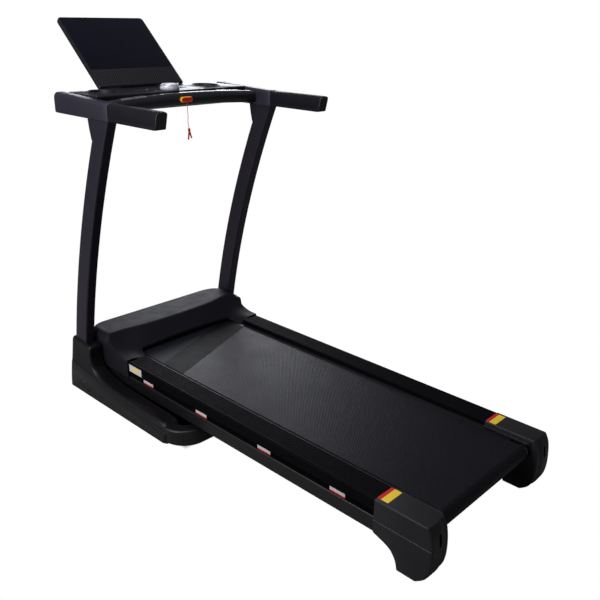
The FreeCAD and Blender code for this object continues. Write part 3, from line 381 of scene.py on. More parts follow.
# Each look: the library's slot, the material's name, the two colours it drifts between, the span of its
# roughness, how fine and how deep its grain is, and what else differs.
GRAINED = {
    "moulded": ("moulded_black", "moulded_black", (0.0068, 0.0064, 0.0078), (0.0090, 0.0085, 0.0104),
                (0.40, 0.50), (1400, 0.00025), {}),
    "hood": ("moulded_black", "hood_black", (0.0078, 0.0080, 0.0104), (0.0098, 0.0100, 0.0130),
             (0.50, 0.60), (1700, 0.00012), {"specular": 0.11}),
    "rail": ("moulded_black", "rail_black", (0.0016, 0.0016, 0.0022), (0.0024, 0.0024, 0.0032),
             (0.50, 0.60), (1400, 0.00025), {"specular": 0.03, "edge_wear_and_highlight": 0.0}),
    # The arm covers are made lighter than the other moulded parts: painted light, for the light that falls on
    # them from the near side.
    "arm": ("moulded_black", "arm_black_painted_light", (0.0190, 0.0176, 0.0260), (0.0240, 0.0222, 0.0330),
            (0.38, 0.46), (1500, 0.0002), {"specular": 0.16}),
    # The uprights get a lighter copy of the powder coat: painted light, for the light that falls on them from
    # the near side.
    "upright": ("frame_black", "upright_coat_painted_light", (0.0115, 0.0100, 0.0165), (0.0145, 0.0128, 0.0205),
                (0.34, 0.44), (2200, 0.00012), {"edge_wear_and_highlight": 0.0}),
    "boot": ("moulded_black", "boot_black", (0.0030, 0.0028, 0.0035), (0.0042, 0.0039, 0.0048),
             (0.30, 0.38), (1700, 0.00012), {"specular": 0.26}),
    "hatch": ("gloss_black", "speaker_ribs", (0.015, 0.015, 0.019), (0.020, 0.020, 0.025),
              (0.4, 0.5), (1400, 0.0001), {"edge_wear_and_highlight": 0.0}),
    "cover": ("moulded_black", "cover_black", (0.0052, 0.0051, 0.0064), (0.0072, 0.0070, 0.0086),
              (0.38, 0.46), (1700, 0.00012), {"specular": 0.25}),
    "bar": ("moulded_black", "bar_black", (0.0095, 0.0098, 0.0125), (0.0120, 0.0124, 0.0155),
            (0.20, 0.28), (1700, 0.00008), {"specular": 0.55}),
    "frame": ("frame_black", "powder_coat", (0.0036, 0.0034, 0.0040), (0.0052, 0.0050, 0.0058),
              (0.30, 0.40), (2200, 0.00012), {"specular": 0.38, "edge_wear_and_highlight": 0.0}),
    "gloss": ("gloss_black", "gloss_black", (0.006, 0.006, 0.0078), (0.008, 0.008, 0.0105),
              (0.16, 0.24), (900, 0.00002), {"specular": 0.5}),
    "panel": ("screen_glass", "dark_panel", (0.0036, 0.0042, 0.0088), (0.0046, 0.0052, 0.0105),
              (0.10, 0.16), (700, 0.00001), {"specular": 0.15, "coat": 0.04, "edge_wear_and_highlight": 0.0}),
    "grip": ("grip_rubber", "grip_rubber", (0.0040, 0.0037, 0.0054), (0.0054, 0.0050, 0.0072),
             (0.48, 0.60), (1100, 0.0004), {"specular": 0.15}),
    "rubber": ("soft_rubber", "soft_rubber", (0.004, 0.004, 0.004), (0.006, 0.006, 0.006),
               (0.6, 0.75), (900, 0.0003), {"specular": 0.2}),
    "board": ("board", "laminated_board", (0.004, 0.004, 0.0045), (0.007, 0.0066, 0.0066),
              (0.4, 0.55), (1800, 0.0001), {}),
    "wheel": ("wheel_plastic", "wheel_plastic", (0.010, 0.010, 0.011), (0.016, 0.016, 0.018),
              (0.4, 0.55), (900, 0.0002), {}),
    "motor": ("motor_paint", "motor_paint", (0.012, 0.012, 0.013), (0.018, 0.018, 0.020),
              (0.3, 0.4), (1800, 0.0001), {}),
    "fins": ("electronics", "anodised_fins", (0.10, 0.105, 0.11), (0.14, 0.145, 0.15),
             (0.35, 0.45), (1200, 0.0001), {"metallic": 0.7}),
    "red": ("red_plastic", "red_plastic", (0.58, 0.010, 0.012), (0.68, 0.016, 0.018),
            (0.28, 0.38), (900, 0.00005), {"edge_wear_and_highlight": 0.0}),
    "yellow": ("red_plastic", "yellow_plastic", (0.80, 0.42, 0.02), (0.88, 0.50, 0.03),
               (0.28, 0.38), (900, 0.00005), {"edge_wear_and_highlight": 0.0}),
    "label_red": ("red_plastic", "label_red", (0.50, 0.012, 0.016), (0.58, 0.018, 0.022),
                  (0.35, 0.45), (900, 0.00002), {"edge_wear_and_highlight": 0.0}),
    "label_yellow": ("gloss_black", "label_yellow", (0.82, 0.56, 0.03), (0.88, 0.63, 0.05),
                     (0.35, 0.45), (900, 0.00002), {"edge_wear_and_highlight": 0.0}),
    "label_white": ("gloss_black", "label_white", (0.50, 0.49, 0.47), (0.60, 0.59, 0.57),
                    (0.40, 0.50), (900, 0.00002), {"edge_wear_and_highlight": 0.0}),
    "cord": ("red_cord", "cord_braid", (0.60, 0.02, 0.03), (0.72, 0.04, 0.05),
             (0.55, 0.7), (2600, 0.0004), {"edge_wear_and_highlight": 0.0}),
    "silver": ("silver_plastic", "bright_dial", (0.50, 0.52, 0.55), (0.60, 0.62, 0.65),
               (0.26, 0.36), (900, 0.00002), {"specular": 0.6, "metallic": 0.35, "edge_wear_and_highlight": 0.0}),
}
LOOKS = {look: (slot, grained(*basics, **rest)) for look, (slot, *basics, rest) in GRAINED.items()}
LOOKS["belt"] = ("belt_rubber", belt_material())
LOOKS["steel"] = ("steel", plain_metal("brushed_steel", (0.62, 0.62, 0.64), 0.24))
LOOKS["zinc"] = ("zinc_steel", plain_metal("zinc_steel", (0.42, 0.42, 0.44), 0.38, (30, 30, 30)))

# The looks of the CAD nodes that no piece below stands in for.
NODE_LOOKS = {
    "frame": "base_rail_left base_rail_right base_rear_tube base_front_tube chassis_rail_left "
             "chassis_rail_right cross_tube_rear cross_tube_middle cross_tube_front motor_pan",
    "moulded": "console_shell screen_bracket switch_frame",
    "upright": "upright_left upright_right",
    "rail": "side_rail_left side_rail_right",
    "gloss": "power_inlet power_switch",
    "rubber": "base_feet deck_cushions drive_belt",
    "belt": "running_belt",
    "board": "running_deck",
    "steel": "fold_pins wheel_axles roller_axles rear_roller front_roller motor_rotor strut_rod",
    "zinc": "tension_bolts upright_bolts boot_screws",
    "motor": "drive_motor strut_barrel",
    "fins": "motor_controller",
    "wheel": "transport_wheel_left transport_wheel_right",
}


def dress_nodes():
    for look, names in NODE_LOOKS.items():
        for name in names.split():
            mesh = NODES[name].data
            mesh.materials.clear()
            mesh.materials.append(LOOKS[look][1])


# ---------------------------------------------------------------- mesh helpers

SHARP_ANGLE = 38


def piece(name, bm, body, look, replaced=(), sharp=SHARP_ANGLE, weld=0.05):
    """Turns a bmesh in the frame's metres into a named object that rides on a body."""
    bmesh.ops.remove_doubles(bm, verts=bm.verts, dist=weld * MM)
    bmesh.ops.recalc_face_normals(bm, faces=bm.faces)
    mesh = bpy.data.meshes.new(name)
    bm.to_mesh(mesh)
    bm.free()
    mesh.shade_smooth()
    mesh.set_sharp_from_angle(angle=math.radians(sharp))
    slot, material = LOOKS[look]
    mesh.materials.append(material)
    thing = add_object(name, mesh)
    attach(thing, body)
    if replaced:
        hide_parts(*replaced)
    return thing


def strips(bm, rings, loop=True, first=True):
    """Joins rings of equally many points with quads; closed rings get end faces."""
    rows = [[bm.verts.new(point) for point in ring] for ring in rings]
    count = len(rows[0])
    for row, after in zip(rows, rows[1:]):
        for i in range(count if loop else count - 1):
            j = (i + 1) % count
            bm.faces.new((row[i], row[j], after[j], after[i]))
    if loop and first:
        bm.faces.new(list(reversed(rows[0])))
    if loop:
        bm.faces.new(rows[-1])


def solid(name, rings, body, look, replaced=(), **rest):
    """A piece made of one stack of rings."""
    bm = bmesh.new()
    strips(bm, rings)
    piece(name, bm, body, look, replaced, **rest)


def spaced(start, end, steps):
    """Evenly spaced values from start to end."""
    return [start + (end - start) * i / steps for i in range(steps + 1)]


def circle(radius, centre, count):
    """Points round a centre in (u, v)."""
    turns = [2 * math.pi * k / count for k in range(count)]
    return [(centre[0] + radius * math.cos(turn), centre[1] + radius * math.sin(turn)) for turn in turns]


def facing_x(y, z, x):
    """A place for turned(), its axis along X."""
    return at(x, y, z)


def facing_y(x, z, y):
    """A place for turned(), its axis along Y."""
    return at(x, y, z)


def turned(bm, centre, sections, count, place=at):
    """A round body; sections are (radius, how far along its axis), and place says where the axis runs."""
    rings = []
    for radius, along in sections:
        rings.append([place(u, v, along) for u, v in circle(radius, centre, count)])
    strips(bm, rings)


def rounded_loop(low, high, radii, steps=6):
    """A rectangle's outline in (u, v), its corners rounded, from the low-low corner counter-clockwise."""
    (u0, v0), (u1, v1) = low, high
    corners = (((u0, v0), (1, 1), 180), ((u1, v0), (-1, 1), 270), ((u1, v1), (-1, -1), 0),
               ((u0, v1), (1, -1), 90))
    points = []
    for ((u, v), (inward_u, inward_v), start), radius in zip(corners, radii):
        centre_u, centre_v = u + inward_u * radius, v + inward_v * radius
        for step in range(steps + 1):
            angle = math.radians(start + 90 * step / steps)
            points.append((centre_u + radius * math.cos(angle), centre_v + radius * math.sin(angle)))
    return points


def shrunk_loop(low, high, inset, radii, steps=6):
    """A rounded rectangle drawn in from its sides."""
    return rounded_loop((low[0] + inset, low[1] + inset), (high[0] - inset, high[1] - inset), radii, steps)


def add_box(bm, low, high, radius):
    """A block with its four upright edges and its top rim rounded, drawn along Z."""
    levels = [(0, low[2])]
    for step in range(4):
        angle = math.radians(30 * step)
        levels.append((radius * (1 - math.cos(angle)) * 0.5, high[2] - radius * 0.5 * (1 - math.sin(angle))))
    rings = []
    for inset, height in levels:
        loop = shrunk_loop(low, high, inset, [max(radius - inset, 0.2)] * 4)
        rings.append([at(u, v, height) for u, v in loop])
    strips(bm, rings)


def smooth_through(points, per_span=6):
    """A Catmull-Rom line through a few points."""
    line = []
    last = len(points) - 1
    for i in range(last):
        before, start = points[max(i - 1, 0)], points[i]
        end, after = points[i + 1], points[min(i + 2, last)]
        for step in range(per_span):
            t = step / per_span
            line.append(tuple(0.5 * (2 * b + (c - a) * t + (2 * a - 5 * b + 4 * c - d) * t * t
                                     + (3 * b - a - 3 * c + d) * t ** 3)
                              for a, b, c, d in zip(before, start, end, after)))
    line.append(tuple(points[-1]))
    return line


def between(points, u):
    """The v of a line of (u, v) points, rising in u, at one u."""
    if u <= points[0][0]:
        return points[0][1]
    for (u0, v0), (u1, v1) in zip(points, points[1:]):
        if u <= u1:
            return v0 + (v1 - v0) * (u - u0) / (u1 - u0)
    return points[-1][1]


def thicken(thing, thickness):
    """Gives an open shell its wall, on the inside."""
    modifier = thing.modifiers.new("wall", "SOLIDIFY")
    modifier.thickness = thickness * MM
    modifier.offset = -1


def carve(thing, cutter_bm):
    """Cuts one mesh out of a piece for good."""
    bmesh.ops.recalc_face_normals(cutter_bm, faces=cutter_bm.faces)
    mesh = bpy.data.meshes.new("cutter")
    cutter_bm.to_mesh(mesh)
    cutter_bm.free()
    cutter = add_object("cutter", mesh)
    modifier = thing.modifiers.new("carve", "BOOLEAN")
    modifier.object = cutter
    modifier.solver = "EXACT"
    bpy.context.view_layer.update()
    result = bpy.data.meshes.new_from_object(thing.evaluated_get(bpy.context.evaluated_depsgraph_get()))
    thing.modifiers.clear()
    thing.data = result
    bpy.data.objects.remove(cutter)
    bpy.data.meshes.remove(mesh)


# ---------------------------------------------------------------- motor hood

(_, _, HOOD_LOW), (HOOD_HALF, HOOD_FRONT, _) = extent("motor_hood")
HOOD_REAR = extent("side_rail_right")[1][1] + 3.5
HOOD_TOP = 250
HOOD_CORNER = 85
HOOD_ROLL, HOOD_ROLL_DROP = 17, 13
HOOD_FRONT_RUN, HOOD_FRONT_DROP = 70, 12
HOOD_SIDE_LINE = smooth_through([(1300, 188.5), (1346, 189), (1390, 191), (1431, 202), (1468, 228),
                                 (1500, 262), (1530, 300)])
HOOD_FOOT_LINE = [(HOOD_REAR, HOOD_LOW), (1562, HOOD_LOW), (1637, HOOD_LOW + 30)]
HOOD_BLEND = 3.0
CREST_MIDDLE, CREST_BOW, CREST_HALF = 1470, 20, 310
HOLLOW_FROM, HOLLOW_RUN = 170, 130
MOUTH_HALF = 236
MOUTH_EDGE = 1410
MOUTH_HEIGHT = 200
MOUTH_CORNER = 25
MOUTH_LEG_END = MOUTH_EDGE - MOUTH_CORNER
HAIR = 0.01


def hood_dome(x, y):
    """The flat top and how it rolls off at the sides, the front and the front corners."""
    across = max(abs(x) - (HOOD_HALF - HOOD_CORNER), 0)
    along = max(y - (HOOD_FRONT - HOOD_CORNER), 0)
    inward = HOOD_CORNER - math.hypot(across, along)
    roll = max(0.0, (HOOD_ROLL - inward) / HOOD_ROLL)
    front = max(0.0, (y - (HOOD_FRONT - HOOD_FRONT_RUN)) / HOOD_FRONT_RUN)
    return HOOD_TOP - HOOD_ROLL_DROP * roll ** 2 - HOOD_FRONT_DROP * front ** 2


def hood_crest(x):
    """How far along the top's highest line runs at a place across."""
    return CREST_MIDDLE + CREST_BOW * (x / CREST_HALF) ** 2


def hood_slope(x, y):
    """The slope from the belt's mouth up to the crest, hollowed at both sides."""
    rise = (HOOD_TOP - MOUTH_HEIGHT) / (hood_crest(0) - MOUTH_EDGE)
    middle = HOOD_TOP + (y - hood_crest(x)) * rise
    side = between(HOOD_SIDE_LINE, y)
    share = min(max((abs(x) - HOLLOW_FROM) / HOLLOW_RUN, 0), 1)
    share = share * share * (3 - 2 * share)
    return middle + (side - middle) * share


def hood_height(x, y):
    dome, slope = hood_dome(x, y), hood_slope(x, y)
    return 0.5 * (dome + slope - math.sqrt((dome - slope) ** 2 + HOOD_BLEND ** 2))


def hood_point(x, y):
    return at(x, y, hood_height(x, y))


def mouth_line(x):
    """Where the hood's rear edge runs at a place across the belt's mouth."""
    over = abs(x) - (MOUTH_HALF - MOUTH_CORNER)
    if over <= 0:
        return MOUTH_EDGE
    over = min(over, MOUTH_CORNER)
    return MOUTH_LEG_END + math.sqrt(MOUTH_CORNER ** 2 - over ** 2)


def hood_columns():
    """Places across, closer together round the mouth's corners and the rolled sides."""
    inner = MOUTH_HALF - MOUTH_CORNER
    half = spaced(0, inner, 26)[:-1]
    half += [inner + MOUTH_CORNER * math.sin(math.radians(10 * i)) for i in range(10)]
    half += spaced(MOUTH_HALF, HOOD_HALF, 20)[1:]
    return [-x for x in reversed(half[1:])] + half


def hood_wall(bm, rim):
    """A wall from the top down to its lower edge, which sweeps up in front over inlet and switch."""
    columns = []
    for x, y in rim:
        heights = spaced(hood_height(x, y), between(HOOD_FOOT_LINE, y), 4)
        columns.append([at(x, y, z) for z in heights])
    strips(bm, columns, loop=False)


def hood_lip(bm, path, turn):
    """A narrow lip that turns down along the belt's mouth."""
    lip = [hood_point(x, y) for x, y in path]
    strips(bm, [lip, [point + Vector(turn) * MM for point in lip]], loop=False)


def motor_hood():
    """One moulded cover: top, side walls, front wall and a lip round the belt's mouth."""
    bm = bmesh.new()
    columns = hood_columns()
    tops = []
    for x in columns:
        start = mouth_line(x) if abs(x) < MOUTH_HALF else MOUTH_LEG_END
        along = spaced(start, hood_crest(x), 22) + spaced(hood_crest(x), HOOD_FRONT, 40)[1:]
        tops.append([hood_point(x, y) for y in along])
    strips(bm, tops, loop=False)
    along = spaced(HOOD_REAR, MOUTH_LEG_END, 10)
    crest = hood_crest(HOOD_HALF)
    rim = along + spaced(MOUTH_LEG_END, crest, 22)[1:] + spaced(crest, HOOD_FRONT, 40)[1:]
    for _, side in SIDES:
        legs = [x for x in columns if side * x >= MOUTH_HALF - HAIR]
        strips(bm, [[hood_point(x, y) for y in along] for x in legs], loop=False)
        hood_wall(bm, [(side * HOOD_HALF, y) for y in rim])
        hood_lip(bm, [(side * MOUTH_HALF, y) for y in along], (0, 0, -12))
    hood_wall(bm, [(x, HOOD_FRONT) for x in columns])
    hood_lip(bm, [(x, mouth_line(x)) for x in columns if abs(x) <= MOUTH_HALF + HAIR], (0, 1.5, -5))
    hood = piece("hood_cover", bm, "deck", "hood", ["motor_hood"], sharp=50)
    thicken(hood, 2.6)
    edges = hood.modifiers.new("edges", "BEVEL")
    edges.width = 1.2 * MM
    edges.segments = 2
    edges.limit_method = "ANGLE"
    edges.angle_limit = math.radians(60)


def mouth_shade_strip():
    """A black strip that hangs under the hood's rear edge, all round the belt's mouth: painted shade, a dark
    sheet for the shaded gap under the lip.
    """
    along = spaced(HOOD_REAR, MOUTH_LEG_END, 6)
    path = [(-MOUTH_HALF, y) for y in along[:-1]]
    path += [(x, mouth_line(x)) for x in hood_columns() if abs(x) <= MOUTH_HALF + HAIR]
    path += [(MOUTH_HALF, y) for y in reversed(along[:-1])]
    rings = []
    for x, y in path:
        top = hood_height(x, y)
        ring = []
        for out, drop in ((0.0, 0.4), (1.6, 0.6), (2.2, 2.0), (2.2, 10.0), (1.4, 11.5), (0.0, 11.0)):
            ring.append(at(x * (1 - out / MOUTH_HALF), y - out, top - drop))
        rings.append(ring)
    solid("mouth_shade_strip", rings, "deck", "rubber")


SCREW_DOME = ((1.0, 0.0), (1.0, 0.6), (0.9, 1.3), (0.62, 1.8), (0.3, 2.0), (0.3, 0.9))


def pan_screw(bm, x, y, z, radius, out):
    """A small domed screw head with a recess, on a wall that faces out along X."""
    sections = [(radius * share, x + out * height) for share, height in SCREW_DOME]
    turned(bm, (y, z), sections, 20, facing_x)


def hood_screws():
    bm = bmesh.new()
    for _, side in SIDES:
        for along, height in ((1377, 128), (1551, 135)):
            pan_screw(bm, side * HOOD_HALF, along, height, 3.6, side)
    piece("hood_screws", bm, "deck", "zinc")


# ---------------------------------------------------------------- rear end caps

# Lines of (height, place along) for the cap's rear and front.
CAP_REAR_LINE = smooth_through([(0, 22), (18, 0), (43, -13), (76, -19), (110, -19.5), (140, -17), (165, -12),
                                (185, -2)])
CAP_FRONT_LINE = [(0, 88), (15, 91), (30, 96), (41, 103), (52, 112), (59, 123), (65, 136), (71, 154),
                  (77, 172), (80, 175.6), (187, 175.6)]
CAP_LEVELS = [0, 5, 11, 18, 26, 34, 43, 52, 59, 65, 70, 74, 77, 80, 90, 100, 110, 116, 117.6, 119, 121, 123,
              124.4, 126, 134, 144, 152, 160, 168, 175, 180, 184]
CAP_GROOVE, CAP_GROOVE_HALF, CAP_GROOVE_DEPTH = 121, 2.1, 1.3
# The rear face from its inner corner outwards: how far across, in millimetres and as a share of the
# width, and how far in front of the rear line.
CAP_FACE = ((0, 0, 9), (1.2, 0, 5.4), (4, 0, 3.2), (0, 0.16, 2.6), (0, 0.2, 3.8), (0, 0.24, 2.4),
            (0, 0.34, 1.8), (0, 0.37, 0.5), (0, 0.42, 0), (0, 0.62, 0), (0, 0.82, 0.6))
CAP_CORNER = 8
CAP_RIM = 3
(CAP_IN, _, _), (CAP_OUT, _, CAP_TOP) = extent("end_cap_right")


def cap_ring(side, z, inset, groove):
    """One level of the cap, from its inner front corner round the rear face to its outer front corner."""
    rear = between(CAP_REAR_LINE, z) + inset
    front = between(CAP_FRONT_LINE, z) - inset
    inner, outer = CAP_IN + inset, CAP_OUT - inset - groove
    middle = front - (front - rear) * 0.5
    loop = [(inner, front), (inner, middle)]
    loop += [(inner + across + share * (outer - inner), rear + ahead) for across, share, ahead in CAP_FACE]
    for step in range(7):
        angle = math.radians(15 * step)
        loop.append((outer - CAP_CORNER * (1 - math.sin(angle)),
                     rear + 1 + CAP_CORNER * (1 - math.cos(angle))))
    loop += [(outer, middle), (outer, front)]
    return [at(side * x, y, z) for x, y in loop]


def end_cap(word, side):
    """The moulded cap over the deck's rear corner, with a thin line pressed into its outer face."""
    bm = bmesh.new()
    rings = []
    for z in CAP_LEVELS:
        groove = CAP_GROOVE_DEPTH if abs(z - CAP_GROOVE) < CAP_GROOVE_HALF else 0.0
        rings.append(cap_ring(side, z, 0, groove))
    for step in range(1, 5):
        angle = math.radians(22.5 * step)
        z = CAP_TOP - CAP_RIM + CAP_RIM * math.sin(angle)
        rings.append(cap_ring(side, z, CAP_RIM * (1 - math.cos(angle)), 0))
    strips(bm, rings)
    cap = piece(f"end_cap_shell_{word}", bm, "deck", "moulded", [f"end_cap_{word}"], sharp=30)
    carve(cap, cap_slot(side))
    carve(cap, cap_roller_room(side))


def cap_slot(side):
    """The upright oval slot through which the tension bolt is reached."""
    bm = bmesh.new()
    loop = rounded_loop((CAP_IN + 37.5, 118), (CAP_IN + 48.5, 158), [5.4] * 4)
    strips(bm, [[at(side * x, y, z) for x, z in loop] for y in (-30, -7)])
    return bm


def cap_roller_room(side):
    """The round pocket in the cap's inner face for the roller's end."""
    bm = bmesh.new()
    turned(bm, (34, 145), ((27, side * (CAP_IN - 5)), (27, side * (CAP_IN + 7))), 36, facing_x)
    return bm


LEDGE_IN, LEDGE_LOW, LEDGE_TOP = 234, 173.0, 178.5
LEDGE_REAR, LEDGE_FRONT, LEDGE_CORNER = 12, 172, 14
LEDGE_TEETH, TOOTH_DEPTH, LEDGE_CHAMFER = 56, 1.3, 0.8


def cap_ledge(word, side):
    """The low strip between cap and belt, its belt edge notched like a comb and its end rounded."""
    outer = CAP_IN + 1
    edge = [(outer, LEDGE_REAR + 1)]
    for step in range(9):
        angle = math.radians(11.25 * step)
        edge.append((LEDGE_IN + LEDGE_CORNER * (1 - math.sin(angle)),
                     LEDGE_REAR + LEDGE_CORNER * (1 - math.cos(angle))))
    start = LEDGE_REAR + LEDGE_CORNER + 4
    pitch = (LEDGE_FRONT - start) / LEDGE_TEETH
    for i in range(LEDGE_TEETH):
        for share, depth in ((0, 0), (0.55, 0), (0.6, TOOTH_DEPTH), (0.95, TOOTH_DEPTH)):
            edge.append((LEDGE_IN + depth, start + pitch * (i + share)))
    edge += [(LEDGE_IN, LEDGE_FRONT), (outer, LEDGE_FRONT)]
    rings = []
    for inset, z in ((0, LEDGE_LOW), (0, LEDGE_TOP - LEDGE_CHAMFER), (LEDGE_CHAMFER, LEDGE_TOP)):
        rings.append([at(side * min(x + inset, outer), y, z) for x, y in edge])
    solid(f"belt_guard_{word}", rings, "deck", "moulded", sharp=30, weld=0.01)


# ---------------------------------------------------------------- stickers and labels

STICKER_THICK = 0.25


def spread(first, second):
    """The four corners of the rectangle over two spans."""
    return [(first[0], second[0]), (first[1], second[0]), (first[1], second[1]), (first[0], second[1])]


def raised(bm, base, x, z):
    """A thin sticker over four points, raised by so many millimetres across or up."""
    strips(bm, [base, [point + Vector((x, 0, z)) * MM for point in base]])


def side_sticker(bm, side, x, along, heights, thick=STICKER_THICK):
    raised(bm, [at(side * x, y, z) for y, z in spread(along, heights)], side * thick, 0)


def foot_stripe(name, side, look, along):
    bm = bmesh.new()
    base = [at(side * x, y, CAP_TOP + 0.05) for x, y in spread((254, 319), along)]
    raised(bm, base, 0, STICKER_THICK)
    piece(name, bm, "deck", look)


def rail_sticker(name, side, look, lift, along, heights):
    bm = bmesh.new()
    side_sticker(bm, side, CAP_OUT + lift, along, heights)
    piece(name, bm, "deck", look)


def deck_stickers():
    """A two-colour safety stripe on each cap and plain tags in the rails' slots; no lettering."""
    for word, side in SIDES:
        foot_stripe(f"foot_stripe_yellow_{word}", side, "label_yellow", (139, 163))
        foot_stripe(f"foot_stripe_red_{word}", side, "label_red", (163, 175))
        rail_sticker(f"rail_tag_{word}", side, "label_white", 0.05, (1262, 1338), (153, 181))
        rail_sticker(f"rail_tag_band_{word}", side, "label_yellow", 0.35, (1276, 1318), (166, 176))
    tags, borders = bmesh.new(), bmesh.new()
    face, half_long = 322.1, 29
    for _, side in SIDES:
        for middle in (314, 619, 928, 1232):
            along = (middle - half_long, middle + half_long)
            side_sticker(tags, side, face, along, (128, 150), 0.3)
            for heights in ((127, 131.5), (143.5, 150)):
                side_sticker(borders, side, face + 0.3, along, heights, 0.2)
    piece("cushion_tags", tags, "deck", "label_white")
    piece("cushion_tag_borders", borders, "deck", "label_red")


# ---------------------------------------------------------------- boots over the floor frame

# Stations round the boot from its rear end over the sweep and the seat to the front: the place on the
# top line (y, z) and, on the floor, the place (y) each section runs down to.
BOOT_FLOOR = 3
BOOT_REAR_END = [(1028, 3, 1056), (1026, 28, 1061), (1027.5, 48, 1067), (1036, 65, 1076), (1052, 74, 1090)]
BOOT_RUN = [(1052, 74, 1090), (1082, 78, 1112), (1180, 81, 1190), (1319, 85, 1323), (1408, 92, 1411),
            (1468, 106, 1474), (1497, 128, 1506), (1509, 160, 1522), (1511, 192, 1532)]
BOOT_SEAT = [(1511.5, 199, 1534), (1513, 205, 1537), (1517, 209, 1541), (1523, 210.3, 1546),
             (1560, 215.5, 1562), (1600, 218.5, 1578), (1626, 220.5, 1589), (1633, 219.5, 1592)]
BOOT_FRONT = [(1637, 214.5, 1594), (1646, 150, 1606), (1657, 85, 1618), (1664, 40, 1628), (1668, 3, 1636)]
BOOT_CREASE = [(1020, 40), (1135, 49), (1219, 56), (1344, 68), (1474, 94), (1644, 114)]
(BOOT_IN, _, _), (BOOT_OUT, _, _) = extent("boot_right")
BOOT_TAPER = 0.05
BOOT_ROUND = 10


def boot_face(z):
    """How far out the boot's outer face stands; it leans in towards the top."""
    return BOOT_OUT - 0.6 - BOOT_TAPER * z


def boot_stations():
    line = smooth_through(BOOT_REAR_END, 4)[:-1] + smooth_through(BOOT_RUN)
    return line + BOOT_SEAT + smooth_through(BOOT_FRONT, 5)


def boot_section(y, z, foot):
    """Across one station: inner wall, flat top, rounded outer corner, soft crease and outer wall."""
    run = math.hypot(foot - y, z - BOOT_FLOOR)
    along, down = (foot - y) / run, (z - BOOT_FLOOR) / run
    crease = (z - between(BOOT_CREASE, y)) / max(down, 0.05)
    crease = min(max(crease, BOOT_ROUND + 4), 0.8 * run)
    soft = min(6.0, 0.16 * run)
    # Steps are (x, or None on the outer face; how far down the section; how far in from the face).
    steps = [(BOOT_IN, run, 0), (BOOT_IN, 0.5 * run, 0), (BOOT_IN, 3, 0), (BOOT_IN + 0.8, 0.9, 0),
             (BOOT_IN + 2.6, 0, 0)]
    for angle in spaced(0, math.pi / 2, 7):
        steps.append((None, BOOT_ROUND * (1 - math.cos(angle)), BOOT_ROUND * (1 - math.sin(angle)) + 4.0))
    steps += [(None, crease - soft, 3.4), (None, crease - 0.4 * soft, 2.2), (None, crease, 1.0),
              (None, crease + 0.6 * soft, 0.2), (None, min(crease + soft, 0.95 * run), 0.0), (None, run, 0.0)]
    section = []
    for x, reach, back in steps:
        place_y, place_z = y + along * reach, z - down * reach
        outer = boot_face(place_z) - back if x is None else x
        section.append((outer, place_y, place_z))
    return section


def boots():
    """Moulded covers, open below: a narrow top that sweeps down from the upright's foot."""
    sections = [boot_section(*station) for station in boot_stations()]
    for word, side in SIDES:
        bm = bmesh.new()
        strips(bm, [[at(side * x, y, z) for x, y, z in section] for section in sections], loop=False)
        shell = piece(f"boot_cover_{word}", bm, "base", "boot", [f"boot_{word}"], sharp=40)
        thicken(shell, 2.4)
    bm = bmesh.new()
    along, height = 1532, 20
    for _, side in SIDES:
        pan_screw(bm, side * (boot_face(height) - 0.2), along, height, 3.4, side)
    piece("boot_pins", bm, "base", "rubber")


# ---------------------------------------------------------------- arms, grips and handle bar

(ARM_IN, ARM_SEAM, ARM_LOW), (ARM_OUT, ARM_FRONT, ARM_TOP) = extent("arm_right")
GRIP_REAR = extent("grip_caps")[0][1]
ARM_RISE, ARM_LEVEL = 12, 30
ARM_BEND = 15
GRIP_NOTCH = (ARM_LOW + 13, 0.7)
GRIP_SLANT, GRIP_SLANT_RUN = 14, 60


def arm_loop(high, shrink, radius_top, radius_low, notch=None):
    """A section of an arm in (x, z), with a shallow line along both sides where notch says."""
    radii = [radius_low, radius_low, radius_top, radius_top]
    loop = shrunk_loop((ARM_IN, ARM_LOW), (ARM_OUT, high), shrink, radii)
    if notch is None:
        return loop
    inner, outer = ARM_IN + shrink, ARM_OUT - shrink
    height, depth = notch
    right = [(outer, height - 1.2), (outer - depth, height), (outer, height + 1.2)]
    left = [(inner, height + 1.2), (inner + depth, height), (inner, height - 1.2)]
    half = len(loop) // 2
    return loop[:half] + right + loop[half:] + left


def arm_top(y):
    """The arm's top line: level at the seam, a little higher towards its front end."""
    start = ARM_SEAM + ARM_LEVEL
    return ARM_TOP + ARM_RISE * max(0.0, (y - start) / (ARM_FRONT - start))


def arm_cover(word, side):
    """The moulded arm that caps the upright: rounded above, its front end turned down."""
    rear = ARM_SEAM + 0.3
    sections = []
    for y, shrink in ((rear + 0.9, 3.5), (rear, 1.4), (rear + 0.3, 0.5), (rear + 1.4, 0.0), (rear + 30, 0.0),
                      (rear + 90, 0.0), (rear + 150, 0.0), (ARM_FRONT - 60, 0.0), (ARM_FRONT - 20, 0.0)):
        sections.append((y, arm_loop(arm_top(y), shrink, 12, 4)))
    for angle in spaced(0, math.pi / 2, 7)[1:]:
        top = arm_top(ARM_FRONT) - ARM_BEND * (1 - math.cos(angle))
        y = ARM_FRONT - ARM_BEND + ARM_BEND * math.sin(angle) - 0.2
        sections.append((y, arm_loop(top, 2.4 * (1 - math.cos(angle)), 11, 4)))
    bm = bmesh.new()
    strips(bm, [[at(side * x, y, z) for x, z in loop] for y, loop in sections])
    piece(f"arm_cover_{word}", bm, "base", "arm", [f"arm_{word}"])


def grip_lean(z):
    """How far forward a grip's slanted end stands at a height."""
    return GRIP_SLANT * (((ARM_LOW + ARM_TOP) / 2 - z) / (ARM_TOP - ARM_LOW) + 0.5)


